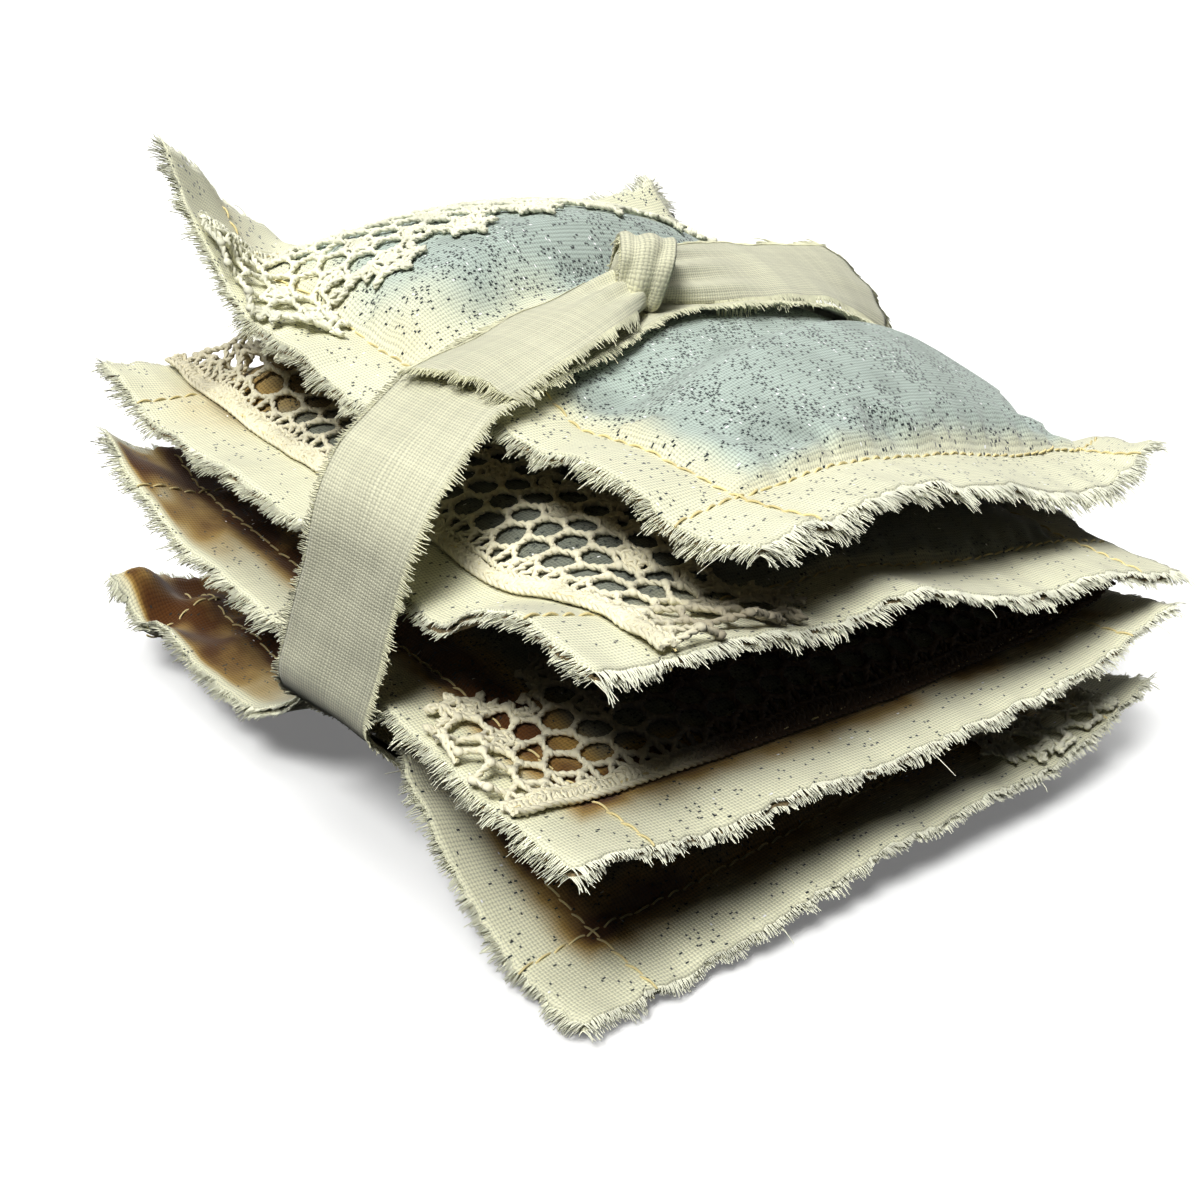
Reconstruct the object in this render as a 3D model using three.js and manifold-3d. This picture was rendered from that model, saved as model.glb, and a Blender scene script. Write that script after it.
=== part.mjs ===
// Four square lavender sachets, stacked and tied together with one torn cotton strip.
// Millimetres, +Z up. The bundle rests on z = 0, and the origin is on the underside of the tie.
import * as THREE from 'three';
import { mergeVertices } from 'three/addons/utils/BufferGeometryUtils.js';
import loadManifold from 'manifold-3d';

const wasm = await loadManifold();
wasm.setup();

// Cotton squares
const CUT_SIDE = 115;
const MARGIN = 12.5;
const COTTON = 0.5;
// Air left between two pieces that touch
const PLAY = 0.3;
// Pillows
const CROWN = 6.9;
const TOP_CROWN = 12;
const BELLY = 9.2;
const BELLY_FLAT = 1.2;
const CROWN_ROUNDNESS = 0.62;
const FILL_SHARE = 0.82;
// Seams
const THREAD = 0.6;
const THREAD_END = 1.5;
// Lace
const LACE_WIDTH = 24;
const LACE_THICKNESS = 0.8;
const LACE_LIFT = 0.6;
const LACE_REPEAT = 12.5;
const LACE_ROWS = 2;
const LACE_HEADING = 3;
const LACE_BAR = 2.2;
const LACE_END = 2;
const LACE_SEAM_SIDE = 1;
// Tie
const TIE_WIDTH = 18;
const TIE_THICKNESS = 0.5;
const TIE_SINK = 7;
const TIE_SHOULDER = 4;
const TIE_RAMP = 10;
const KNOT_X = -3;
const KNOT_Y = 2;
const KNOT_LENGTH = 8;
const KNOT_HEIGHT = 9.5;
const KNOT_TURN = 24;
const TOP_SLOPE = 0.19;
const TOP_BEND = -0.0018;
const BOTTOM_SLOPE = 0.098;
const BOTTOM_Y = -1.7;
// Loose ends of the tie
const LEFT_TAIL = 36;
const RIGHT_TAIL = 50;
const TAIL_RISE = 3;
const TAIL_DROOP = 4;
const TAIL_SHIFT = 3;
const TAIL_GATHER = 0.55;

// Worked out from the sizes above
const HALF = CUT_SIDE / 2;
const SEAM = HALF - MARGIN;
const FILL_HALF = SEAM * FILL_SHARE;
const LACE_LENGTH = CUT_SIDE - 2 * LACE_END;
const SEAM_COVER = PLAY + THREAD;
const TIE_ROOM = TIE_THICKNESS + PLAY;
const HALF_TIE = TIE_WIDTH / 2;
const EDGE_LINES = [HALF, (HALF + SEAM) / 2, SEAM, FILL_HALF];
const bothSides = (places) => [...places.map((place) => -place), ...[...places].reverse()];
const ACROSS = bothSides([...EDGE_LINES, FILL_HALF * 0.6, FILL_HALF * 0.2]);
const ALONG = bothSides([...EDGE_LINES, FILL_HALF * 0.74, FILL_HALF * 0.47, FILL_HALF * 0.19]);

// Each sachet, from the bottom of the stack. lift is how far its middle surface stands above its
// own centre, at its left, middle and right, in rows for its front, middle and back.
// A ripple is a wave in one raw edge, a curl is a corner that turns up and in, and the pinch is
// where the tie draws the top sachet's right edge down and in.
// laceSide is the side that carries the lace. A sachet that slides can be drawn out of the tie
// towards the back.
const SACHETS = [
  {
    name: 'bottom', at: [0.2, -1.2], yaw: -1.2, up: CROWN, down: BELLY, laceSide: 'right',
    lift: [[-8, -3, 2], [-2, 0, 1], [2, -1, -1]],
    ripples: [
      { side: 'left', at: -0.18, rise: 15, reach: 0.32 },
      { side: 'right', at: 0.05, rise: 6, reach: 0.3 },
      { side: 'front', at: -0.02, rise: 2, reach: 0.3 },
    ],
    curls: [{ corner: [1, -1], rise: 5, pull: 1 }],
  },
  {
    name: 'third', at: [-2.6, -2.7], yaw: -1.3, up: CROWN, down: CROWN, laceSide: 'front', slides: true,
    lift: [[-1.5, -2.5, 2], [1.5, 0, 0], [6, 2, 1]],
    ripples: [{ side: 'left', at: -0.3, rise: 1.5, reach: 0.2 }],
    curls: [{ corner: [-1, 1], rise: 4, pull: 1 }, { corner: [1, -1], rise: 3, pull: 0.6 }],
  },
  {
    name: 'second', at: [-1.4, -0.8], yaw: -1.2, up: CROWN, down: CROWN, laceSide: 'left', slides: true,
    lift: [[4, 1.5, -7], [1.5, 0, -4], [3.5, 1, -2]],
    ripples: [
      { side: 'left', at: -0.78, rise: 2.5, reach: 0.16 },
      { side: 'left', at: -0.45, rise: -2.5, reach: 0.16 },
      { side: 'front', at: -0.13, rise: 2, reach: 0.14 },
      { side: 'front', at: 0.3, rise: -1.5, reach: 0.2 },
    ],
    curls: [],
  },
  {
    name: 'top', at: [11.1, 5.3], yaw: 4.4, up: TOP_CROWN, down: CROWN, laceSide: 'back',
    lift: [[-1, -5, -15.5], [-4, 0, -13], [5, 8, 2]],
    ripples: [
      { side: 'left', at: -0.5, rise: 5, reach: 0.24 },
      { side: 'left', at: 0.55, rise: 3, reach: 0.2 },
      { side: 'front', at: -0.45, rise: 2.5, reach: 0.25 },
      { side: 'front', at: 0.35, rise: -2.5, reach: 0.25 },
    ],
    pinch: { side: 'right', at: 0, rise: -2.5, reach: 0.4, pull: 4 },
    curls: [
      { corner: [-1, 1], rise: 17, pull: 3 },
      { corner: [1, -1], rise: 7, pull: 4.5 },
      { corner: [1, 1], rise: 7, pull: 1.4 },
    ],
  },
];
const RIPPLE_START = 0.55;
const CURL_START = 0.74;

const clamp = THREE.MathUtils.clamp;
const lerp = THREE.MathUtils.lerp;
const smooth = (value, start, end) => THREE.MathUtils.smoothstep(value, start, end);

// The tie's course in plan, over the top and under the bottom
const tieTopY = (x) => KNOT_Y + (x - KNOT_X) * (TOP_SLOPE + TOP_BEND * (x - KNOT_X));
const tieBottomY = (x) => BOTTOM_Y + BOTTOM_SLOPE * x;
function besideTie(y, course, shoulder) {
  const flat = HALF_TIE + shoulder;
  return smooth(Math.abs(y - course), flat, flat + TIE_RAMP);
}

// The outward share and the place along a side, for a point of the cloth
function alongSide(side, u, v) {
  if (side === 'left') return [-u, v];
  if (side === 'right') return [u, v];
  if (side === 'front') return [-v, u];
  return [v, u];
}

function quadratic(t) {
  return [(t * (t - 1)) / 2, 1 - t * t, (t * (t + 1)) / 2];
}

function curlShare(curl, u, v) {
  const reach = (u * curl.corner[0] + v * curl.corner[1]) / 2;
  return clamp((reach - CURL_START) / (1 - CURL_START), 0, 1) ** 1.4;
}

function rippleShare(ripple, u, v) {
  const [out, place] = alongSide(ripple.side, u, v);
  return Math.exp(-(((place - ripple.at) / ripple.reach) ** 2)) * smooth(out, RIPPLE_START, 1);
}

// The surface between the two panels of a sachet
function middle(spec, x, y) {
  const u = x / HALF;
  const v = y / HALF;
  const across = quadratic(u);
  const along = quadratic(v);
  let z = 0;
  for (let row = 0; row < 3; row += 1) {
    for (let column = 0; column < 3; column += 1) {
      z += spec.lift[row][column] * along[row] * across[column];
    }
  }
  for (const ripple of spec.ripples) z += ripple.rise * rippleShare(ripple, u, v);
  if (spec.pinch) z += spec.pinch.rise * rippleShare(spec.pinch, u, v);
  for (const curl of spec.curls) {
    z += curl.rise * curlShare(curl, u, v);
  }
  return z;
}

// How full the pillow is at a place, from 0 at the seam to 1 at its centre
function fullness(x, y) {
  const a = clamp(1 - (x / SEAM) ** 2, 0, 1);
  const b = clamp(1 - (y / SEAM) ** 2, 0, 1);
  return (a * b) ** CROWN_ROUNDNESS;
}

// One sachet's cloth surfaces, in its own frame
function clothOf(spec) {
  const turn = THREE.MathUtils.degToRad(spec.yaw);
  const toBundle = (x, y) => new THREE.Vector2(
    spec.at[0] + x * Math.cos(turn) - y * Math.sin(turn),
    spec.at[1] + x * Math.sin(turn) + y * Math.cos(turn),
  );
  const toCloth = (x, y) => new THREE.Vector2(
    (x - spec.at[0]) * Math.cos(turn) + (y - spec.at[1]) * Math.sin(turn),
    (y - spec.at[1]) * Math.cos(turn) - (x - spec.at[0]) * Math.sin(turn),
  );
  const onFloor = spec.name === 'bottom';
  const underTie = spec.name === 'top';
  const rest = spec.down + PLAY / 2 + COTTON - BELLY_FLAT;
  const floorAt = (x, y) => {
    if (!onFloor) return -Infinity;
    const place = toBundle(x, y);
    return TIE_ROOM * (1 - besideTie(place.y, tieBottomY(place.x), 3 * TIE_SHOULDER)) - rest;
  };
  const middleAt = (x, y) => Math.max(middle(spec, x, y), floorAt(x, y) + COTTON + PLAY / 2);
  const sinkAt = (x, y) => {
    if (!underTie) return 0;
    const place = toBundle(x, y);
    return TIE_SINK * (1 - besideTie(place.y, tieTopY(place.x), TIE_SHOULDER));
  };
  const pulled = (x, y, z) => {
    const point = new THREE.Vector3(x, y, z);
    for (const curl of spec.curls) {
      const pull = curl.pull * curlShare(curl, x / HALF, y / HALF);
      point.x -= pull * curl.corner[0];
      point.y -= pull * curl.corner[1];
    }
    if (spec.pinch) point.x -= spec.pinch.pull * rippleShare(spec.pinch, x / HALF, y / HALF);
    return point;
  };
  const top = (x, y) => {
    const crown = (spec.up - sinkAt(x, y)) * fullness(x, y);
    return pulled(x, y, middleAt(x, y) + PLAY / 2 + COTTON + crown);
  };
  const low = (x, y) => {
    const belly = spec.down * fullness(x, y);
    return pulled(x, y, Math.max(middleAt(x, y) - PLAY / 2 - COTTON - belly, floorAt(x, y)));
  };
  const topPoints = ALONG.map((y) => ACROSS.map((x) => top(x, y)));
  const lowPoints = ALONG.map((y) => ACROSS.map((x) => low(x, y)));
  return {
    spec, toBundle, toCloth, rest, turn,
    topAt: (x, y) => onFacet(topPoints, x, y),
    lowAt: (x, y) => onFacet(lowPoints, x, y),
  };
}

// The point of a faceted cloth surface over a place of the flat cloth
function onFacet(points, x, y) {
  const cell = (lines, value) => {
    let i = 0;
    while (i < lines.length - 2 && value > lines[i + 1]) i += 1;
    return [i, clamp((value - lines[i]) / (lines[i + 1] - lines[i]), 0, 1)];
  };
  const [i, a] = cell(ACROSS, x);
  const [j, b] = cell(ALONG, y);
  const p00 = points[j][i];
  const p10 = points[j][i + 1];
  const p01 = points[j + 1][i];
  const p11 = points[j + 1][i + 1];
  const mix = (base, first, second, s, t) => base.clone()
    .addScaledVector(first.clone().sub(base), s)
    .addScaledVector(second.clone().sub(base), t);
  if (risingDiagonal(ACROSS[i], ALONG[j])) {
    if (a > b) {
      const foot = p10.clone();
      return mix(foot, p00, p11, 1 - a, b);
    }
    const foot = p01.clone();
    return mix(foot, p11, p00, a, 1 - b);
  }
  if (a + b < 1) return mix(p00, p10, p01, a, b);
  return mix(p11, p01, p10, 1 - a, 1 - b);
}

// Cells are split so that each diagonal runs from the middle of the cloth to its corner
function risingDiagonal(x, y) {
  return (x < 0) === (y < 0);
}

// A closed solid between two surfaces over the same lines of the cloth
function solidBetween(across, along, low, top) {
  const points = [];
  for (const surface of [low, top]) {
    for (const y of along) {
      for (const x of across) points.push(surface(x, y));
    }
  }
  const at = (layer, i, j) => (layer * along.length + j) * across.length + i;
  const faces = [];
  const quad = (a, b, c, d) => faces.push(a, b, c, a, c, d);
  const right = across.length - 1;
  const back = along.length - 1;
  for (let j = 0; j < back; j += 1) {
    for (let i = 0; i < right; i += 1) {
      for (const layer of [0, 1]) {
        const ring = [at(layer, i, j), at(layer, i + 1, j), at(layer, i + 1, j + 1), at(layer, i, j + 1)];
        const [a, b, c, d] = risingDiagonal(across[i], along[j]) ? ring : [ring[1], ring[2], ring[3], ring[0]];
        if (layer) quad(a, b, c, d);
        else faces.push(a, c, b, a, d, c);
      }
    }
  }
  for (let i = 0; i < right; i += 1) {
    quad(at(0, i, 0), at(0, i + 1, 0), at(1, i + 1, 0), at(1, i, 0));
    quad(at(0, i + 1, back), at(0, i, back), at(1, i, back), at(1, i + 1, back));
  }
  for (let j = 0; j < back; j += 1) {
    quad(at(0, right, j), at(0, right, j + 1), at(1, right, j + 1), at(1, right, j));
    quad(at(0, 0, j + 1), at(0, 0, j), at(1, 0, j), at(1, 0, j + 1));
  }
  return indexed(points, faces);
}

function indexed(points, faces) {
  const geometry = new THREE.BufferGeometry().setFromPoints(points);
  geometry.setIndex(faces);
  geometry.computeVertexNormals();
  return geometry;
}

const raised = (point, height) => new THREE.Vector3(point.x, point.y, point.z + height);

function frontPanel(cloth) {
  return solidBetween(ACROSS, ALONG, (x, y) => raised(cloth.topAt(x, y), -COTTON), cloth.topAt);
}

function backPanel(cloth) {
  return solidBetween(ACROSS, ALONG, cloth.lowAt, (x, y) => raised(cloth.lowAt(x, y), COTTON));
}

function lavenderFill(cloth) {
  const inside = (places) => places.filter((place) => Math.abs(place) <= FILL_HALF);
  return solidBetween(
    inside(ACROSS),
    inside(ALONG),
    (x, y) => raised(cloth.lowAt(x, y), COTTON + PLAY),
    (x, y) => raised(cloth.topAt(x, y), -COTTON - PLAY),
  );
}

// Booleans
function asManifold(geometry) {
  const bare = new THREE.BufferGeometry();
  bare.setAttribute('position', geometry.getAttribute('position').clone());
  if (geometry.index) bare.setIndex(geometry.index.clone());
  const merged = mergeVertices(bare, 1e-4);
  return new wasm.Manifold(new wasm.Mesh({
    numProp: 3,
    vertProperties: new Float32Array(merged.getAttribute('position').array),
    triVerts: new Uint32Array(merged.index.array),
  }));
}

function asGeometry(manifold) {
  const mesh = manifold.getMesh();
  const geometry = new THREE.BufferGeometry();
  geometry.setAttribute('position', new THREE.BufferAttribute(new Float32Array(mesh.vertProperties), 3));
  geometry.setIndex(new THREE.BufferAttribute(new Uint32Array(mesh.triVerts), 1));
  geometry.computeVertexNormals();
  return geometry;
}

// A thread with a three-sided section along a row of points
function threadAlong(points, sideways) {
  const radius = THREAD / 2;
  const vertices = [];
  for (const point of points) {
    vertices.push(raised(point, -radius).addScaledVector(sideways, -radius));
    vertices.push(raised(point, -radius).addScaledVector(sideways, radius));
    vertices.push(raised(point, radius));
  }
  const faces = [0, 1, 2];
  for (let k = 0; k < points.length - 1; k += 1) {
    for (let side = 0; side < 3; side += 1) {
      const a = 3 * k + side;
      const b = 3 * k + ((side + 1) % 3);
      faces.push(a, b + 3, b, a, a + 3, b + 3);
    }
  }
  const end = 3 * (points.length - 1);
  faces.push(end, end + 2, end + 1);
  return indexed(vertices, faces);
}

// The four seams of a sachet run past each other to the raw edges, as one body
function seamThread(surface, height) {
  const reach = HALF - THREAD_END;
  const within = (places) => [-reach, ...places.slice(1, -1), reach];
  const runs = [];
  for (const offset of [-SEAM, SEAM]) {
    const alongX = within(ACROSS).map((s) => raised(surface(s, offset), height));
    const alongY = within(ALONG).map((s) => raised(surface(offset, s), height));
    runs.push(threadAlong(alongX, new THREE.Vector3(0, -1, 0)));
    runs.push(threadAlong(alongY, new THREE.Vector3(1, 0, 0)));
  }
  return asGeometry(runs.map(asManifold).reduce((sum, run) => sum.add(run)));
}

// A place on the lace, along it and inward from the seam, on the flat cloth
function lacePlace(side, along, inward) {
  const out = SEAM - LACE_SEAM_SIDE - inward;
  if (side === 'left') return [-out, -along];
  if (side === 'right') return [out, along];
  if (side === 'front') return [along, -out];
  return [-along, out];
}

// The lace lies over the thread of the two seams that it crosses
function laceClearance(along) {
  const near = 1 - smooth(Math.abs(Math.abs(along) - SEAM), THREAD, LACE_REPEAT / 2);
  return lerp(LACE_LIFT, SEAM_COVER + PLAY, near);
}

// The flat lace: a straight heading with rows of hexagon holes under it, as points and triangles
function flatLace() {
  const repeats = Math.max(3, Math.round(LACE_LENGTH / LACE_REPEAT));
  const step = LACE_LENGTH / repeats;
  const rowStep = (LACE_WIDTH - LACE_HEADING) / (LACE_ROWS + 1 / 3);
  const first = -LACE_LENGTH / 2;
  const points = [];
  const known = new Map();
  const pointAt = (along, inward) => {
    const key = `${along.toFixed(3)} ${inward.toFixed(3)}`;
    if (!known.has(key)) {
      known.set(key, points.length);
      points.push({ along, inward });
    }
    return known.get(key);
  };
  const triangles = [];
  const quad = (a, b, c, d) => triangles.push([a, b, c], [a, c, d]);
  const hole = 1 - LACE_BAR / step;
  const hexagon = [[0, -2], [0.5, -1], [0.5, 1], [0, 2], [-0.5, 1], [-0.5, -1]];
  for (let row = 0; row < LACE_ROWS; row += 1) {
    const shift = row % 2 ? 1 : 0.5;
    const inward = LACE_HEADING + (row + 2 / 3) * rowStep;
    for (let k = 0; k + shift < repeats; k += 1) {
      const along = first + (k + shift) * step;
      const ring = (size) => hexagon.map(([a, b]) => pointAt(along + size * a * step, inward + (size * b * rowStep) / 3));
      const outside = ring(1);
      const inside = ring(hole);
      for (let n = 0; n < 6; n += 1) {
        const next = (n + 1) % 6;
        quad(outside[n], outside[next], inside[next], inside[n]);
      }
      if (row > 0) continue;
      const foot = [-0.5, 0, 0.5].map((a) => pointAt(along + a * step, 0));
      quad(foot[0], foot[1], outside[0], outside[5]);
      quad(foot[1], foot[2], outside[1], outside[0]);
    }
  }
  return { points, triangles };
}

// Places inside a triangle at which the lace is tried against the cloth
const TRIALS = [];
for (let i = 0; i <= 4; i += 1) {
  for (let j = 0; i + j <= 4; j += 1) TRIALS.push([i / 4, j / 4, 1 - (i + j) / 4]);
}

// Lays the flat lace on the cloth: its corners are raised until no facet of the cloth reaches it
function laceTrim(cloth) {
  const { points, triangles } = flatLace();
  const corners = points.map(({ along, inward }) => {
    const [x, y] = lacePlace(cloth.spec.laceSide, along, inward);
    const foot = cloth.topAt(x, y);
    return { x, y, along, foot, z: foot.z + laceClearance(along) };
  });
  for (let pass = 0; pass < 8; pass += 1) {
    for (const triangle of triangles.map((list) => list.map((k) => corners[k]))) {
      for (const weights of TRIALS) {
        const mix = (part) => triangle.reduce((sum, corner, n) => sum + weights[n] * corner[part], 0);
        const need = cloth.topAt(mix('x'), mix('y')).z + laceClearance(mix('along')) - mix('z');
        if (need <= 0) continue;
        triangle.forEach((corner, n) => {
          if (weights[n] > 0) corner.z += need;
        });
      }
    }
  }
  cloth.laceHeight = Math.max(...corners.map((corner) => corner.z - corner.foot.z)) + LACE_THICKNESS;
  const layer = (height) => corners.map(({ foot, z }) => new THREE.Vector3(foot.x, foot.y, z + height));
  const count = corners.length;
  const faces = [];
  const rims = new Map();
  for (const [a, b, c] of triangles) {
    faces.push(a, c, b, a + count, b + count, c + count);
    for (const [p, q] of [[a, b], [b, c], [c, a]]) {
      if (!rims.delete(`${q} ${p}`)) rims.set(`${p} ${q}`, [p, q]);
    }
  }
  for (const [p, q] of rims.values()) faces.push(p, q, q + count, p, q + count, p + count);
  return indexed([...layer(0), ...layer(LACE_THICKNESS)], faces);
}

// How much the trims add to a sachet's thickness at a place
function trimHeight(cloth, x, y) {
  const nearSeam = Math.min(Math.abs(Math.abs(x) - SEAM), Math.abs(Math.abs(y) - SEAM)) < MARGIN / 5;
  let height = nearSeam ? SEAM_COVER : 0;
  const [out] = alongSide(cloth.spec.laceSide, x, y);
  if (out < SEAM && out > SEAM - LACE_SEAM_SIDE - LACE_WIDTH - COTTON) {
    height = cloth.laceHeight;
  }
  return height;
}

// The height at which one sachet just rests on the one below
function restingHeight(lower, upper, level) {
  const steps = 46;
  let height = -Infinity;
  for (let j = 0; j <= steps; j += 1) {
    for (let i = 0; i <= steps; i += 1) {
      const x = lerp(-HALF, HALF, i / steps);
      const y = lerp(-HALF, HALF, j / steps);
      const place = lower.toBundle(x, y);
      const over = upper.toCloth(place.x, place.y);
      if (Math.max(Math.abs(over.x), Math.abs(over.y)) > HALF) continue;
      const nearSeam = Math.min(Math.abs(Math.abs(over.x) - SEAM), Math.abs(Math.abs(over.y) - SEAM));
      const under = nearSeam < MARGIN / 5 ? SEAM_COVER : 0;
      const below = level + lower.topAt(x, y).z + trimHeight(lower, x, y);
      height = Math.max(height, below + under - upper.lowAt(over.x, over.y).z);
    }
  }
  return height + PLAY;
}

const COTTON_COLOUR = 0xe4dccb;
function named(name, geometry, colour) {
  const material = new THREE.MeshStandardMaterial({ color: colour, roughness: 0.9 });
  const mesh = new THREE.Mesh(geometry, material);
  mesh.name = name;
  return mesh;
}

const bundle = new THREE.Group();
bundle.name = 'lavender_sachet_bundle';

let below = null;
let level = 0;
for (const spec of SACHETS) {
  const cloth = clothOf(spec);
  const lace = laceTrim(cloth);
  level = below ? restingHeight(below, cloth, level) : cloth.rest;
  const sachet = new THREE.Group();
  sachet.name = `${spec.name}_sachet`;
  sachet.position.set(spec.at[0], spec.at[1], level);
  sachet.rotation.z = cloth.turn;
  sachet.userData.slides = spec.slides;
  sachet.add(named(`${spec.name}_back_panel`, backPanel(cloth), COTTON_COLOUR));
  sachet.add(named(`${spec.name}_front_panel`, frontPanel(cloth), COTTON_COLOUR));
  sachet.add(named(`${spec.name}_lavender_fill`, lavenderFill(cloth), 0x7d7f9c));
  const threadHeight = PLAY + THREAD / 2;
  sachet.add(named(`${spec.name}_needle_thread`, seamThread(cloth.topAt, threadHeight), 0xd8c39a));
  sachet.add(named(`${spec.name}_bobbin_thread`, seamThread(cloth.lowAt, -threadHeight), 0xd8c39a));
  sachet.add(named(`${spec.name}_lace_trim`, lace, 0xece3d0));
  bundle.add(sachet);
  below = cloth;
}
const topLevel = level;

// The tie's course at any place of the loop
function tieY(x, z) {
  return lerp(tieBottomY(x), tieTopY(x), smooth(z / topLevel, 0.2, 0.95));
}

// The outline, in the X-Z plane, of all that the tie goes round. What slides counts with all that
// is in front of the tie, so that the tie leaves room for it.
function outlineInTie() {
  bundle.updateMatrixWorld(true);
  const limit = HALF_TIE + PLAY;
  const found = [];
  const distance = (p) => p.y - tieY(p.x, p.z);
  const clip = (polygon, keep) => {
    const kept = [];
    polygon.forEach((p, k) => {
      const q = polygon[(k + 1) % polygon.length];
      const dp = keep(p);
      const dq = keep(q);
      if (dp >= 0) kept.push(p);
      if (dp * dq < 0) kept.push(p.clone().lerp(q, dp / (dp - dq)));
    });
    return kept;
  };
  bundle.traverse((mesh) => {
    if (!mesh.isMesh) return;
    const flat = mesh.geometry.index ? mesh.geometry.toNonIndexed() : mesh.geometry;
    const position = flat.getAttribute('position');
    for (let k = 0; k < position.count; k += 3) {
      let polygon = [0, 1, 2].map((n) => new THREE.Vector3()
        .fromBufferAttribute(position, k + n).applyMatrix4(mesh.matrixWorld));
      polygon = clip(polygon, (p) => limit - distance(p));
      if (polygon.length && !mesh.parent.userData.slides) polygon = clip(polygon, (p) => limit + distance(p));
      for (const p of polygon) found.push(new THREE.Vector2(p.x, p.z));
    }
  });
  return found;
}

// A taut loop round the points, anticlockwise, without needless corners
function tautLoop(points) {
  const sorted = [...points].sort((p, q) => p.x - q.x || p.y - q.y);
  const turns = (a, b, c) => (b.x - a.x) * (c.y - a.y) - (b.y - a.y) * (c.x - a.x);
  const half = (list) => {
    const chain = [];
    for (const p of list) {
      while (chain.length > 1 && turns(chain[chain.length - 2], chain[chain.length - 1], p) <= 1e-6) chain.pop();
      chain.push(p);
    }
    chain.pop();
    return chain;
  };
  let loop = [...half(sorted), ...half(sorted.reverse())];
  let dropped = true;
  while (dropped && loop.length > 12) {
    dropped = false;
    for (let k = 0; k < loop.length; k += 1) {
      const a = loop[(k + loop.length - 1) % loop.length];
      const c = loop[(k + 1) % loop.length];
      const span = a.distanceTo(c);
      if (Math.abs(turns(a, loop[k], c)) / span < PLAY / 8) {
        loop.splice(k, 1);
        dropped = true;
        break;
      }
    }
  }
  return loop;
}

// The loop moved outward by a distance
function grown(loop, distance) {
  return loop.map((p, k) => {
    const before = loop[(k + loop.length - 1) % loop.length];
    const after = loop[(k + 1) % loop.length];
    const normal = (a, b) => new THREE.Vector2(b.y - a.y, a.x - b.x).normalize();
    const n1 = normal(before, p);
    const n2 = normal(p, after);
    const share = distance / Math.max(0.3, 1 + n1.dot(n2));
    return p.clone().addScaledVector(n1.clone().add(n2), share);
  });
}

const loop = tautLoop(outlineInTie());
const inner = grown(loop, PLAY);
const outer = grown(loop, PLAY + TIE_THICKNESS);

function tieBand() {
  const vertices = [];
  loop.forEach((p, k) => {
    const y = tieY(p.x, p.y);
    for (const [ring, side] of [[inner, -1], [inner, 1], [outer, 1], [outer, -1]]) {
      vertices.push(new THREE.Vector3(ring[k].x, y + side * HALF_TIE, ring[k].y));
    }
  });
  const faces = [];
  const count = loop.length;
  for (let k = 0; k < count; k += 1) {
    const next = (k + 1) % count;
    for (let side = 0; side < 4; side += 1) {
      const a = 4 * k + side;
      const b = 4 * k + ((side + 1) % 4);
      const c = 4 * next + ((side + 1) % 4);
      const d = 4 * next + side;
      faces.push(a, c, b, a, d, c);
    }
  }
  return indexed(vertices, faces);
}

// The height of the band's outer face over the stack
function bandTop(x) {
  let height = -Infinity;
  outer.forEach((p, k) => {
    const q = outer[(k + 1) % outer.length];
    if ((p.x - x) * (q.x - x) > 0 || p.x === q.x) return;
    height = Math.max(height, lerp(p.y, q.y, (x - p.x) / (q.x - p.x)));
  });
  return height;
}

const knotFoot = Math.max(...[-0.6, 0, 0.6].map((f) => bandTop(KNOT_X + f * KNOT_LENGTH))) + PLAY;
const knotCentre = new THREE.Vector3(KNOT_X, tieTopY(KNOT_X), knotFoot + KNOT_HEIGHT / 2);

// Two wraps of the strip that cross each other
function tieKnot() {
  const radius = KNOT_HEIGHT / 2;
  const profile = [[0, -0.5], [0.6, -0.5], [1, -0.2], [1, 0.2], [0.6, 0.5], [0, 0.5]];
  const wrap = (turn) => {
    const points = profile.map(([r, a]) => new THREE.Vector2(r * radius, a * KNOT_LENGTH));
    const barrel = new THREE.LatheGeometry(points, 8);
    barrel.rotateZ(-Math.PI / 2);
    barrel.rotateZ(THREE.MathUtils.degToRad(turn));
    barrel.translate(knotCentre.x, knotCentre.y, knotCentre.z);
    return asManifold(barrel);
  };
  return asGeometry(wrap(KNOT_TURN).add(wrap(-KNOT_TURN)));
}

// A loose end: stations run from the knot outward, each with the strip's underside and width
function tailSolid(stations) {
  const vertices = [];
  for (const { x, y, z, width } of stations) {
    for (const [side, height] of [[-1, 0], [1, 0], [1, TIE_THICKNESS], [-1, TIE_THICKNESS]]) {
      vertices.push(new THREE.Vector3(x, y + (side * width) / 2, z + height));
    }
  }
  const outward = Math.sign(stations[1].x - stations[0].x);
  const faces = [];
  const face = (a, b, c) => (outward < 0 ? faces.push(a, b, c) : faces.push(a, c, b));
  const end = 4 * (stations.length - 1);
  for (let k = 0; k < stations.length - 1; k += 1) {
    for (let side = 0; side < 4; side += 1) {
      const a = 4 * k + side;
      const b = 4 * k + ((side + 1) % 4);
      face(a, b + 4, b);
      face(a, a + 4, b + 4);
    }
  }
  face(0, 1, 2);
  face(0, 2, 3);
  face(end, end + 2, end + 1);
  face(end, end + 3, end + 2);
  return indexed(vertices, faces);
}

// How far the knot reaches to its left and right at the height where the tails leave it
const knot = tieKnot();
const tailHeight = bandTop(KNOT_X) + PLAY + TAIL_RISE;
function knotReach(side) {
  const position = knot.getAttribute('position');
  let reach = 0;
  for (let k = 0; k < position.count; k += 1) {
    const low = Math.abs(position.getZ(k) - tailHeight) < KNOT_HEIGHT / 4;
    if (low) reach = Math.max(reach, side * (position.getX(k) - KNOT_X));
  }
  return reach + PLAY;
}
const tailWidth = (share) => TIE_WIDTH * lerp(TAIL_GATHER, 1, smooth(share, 0, 0.4));

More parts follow.
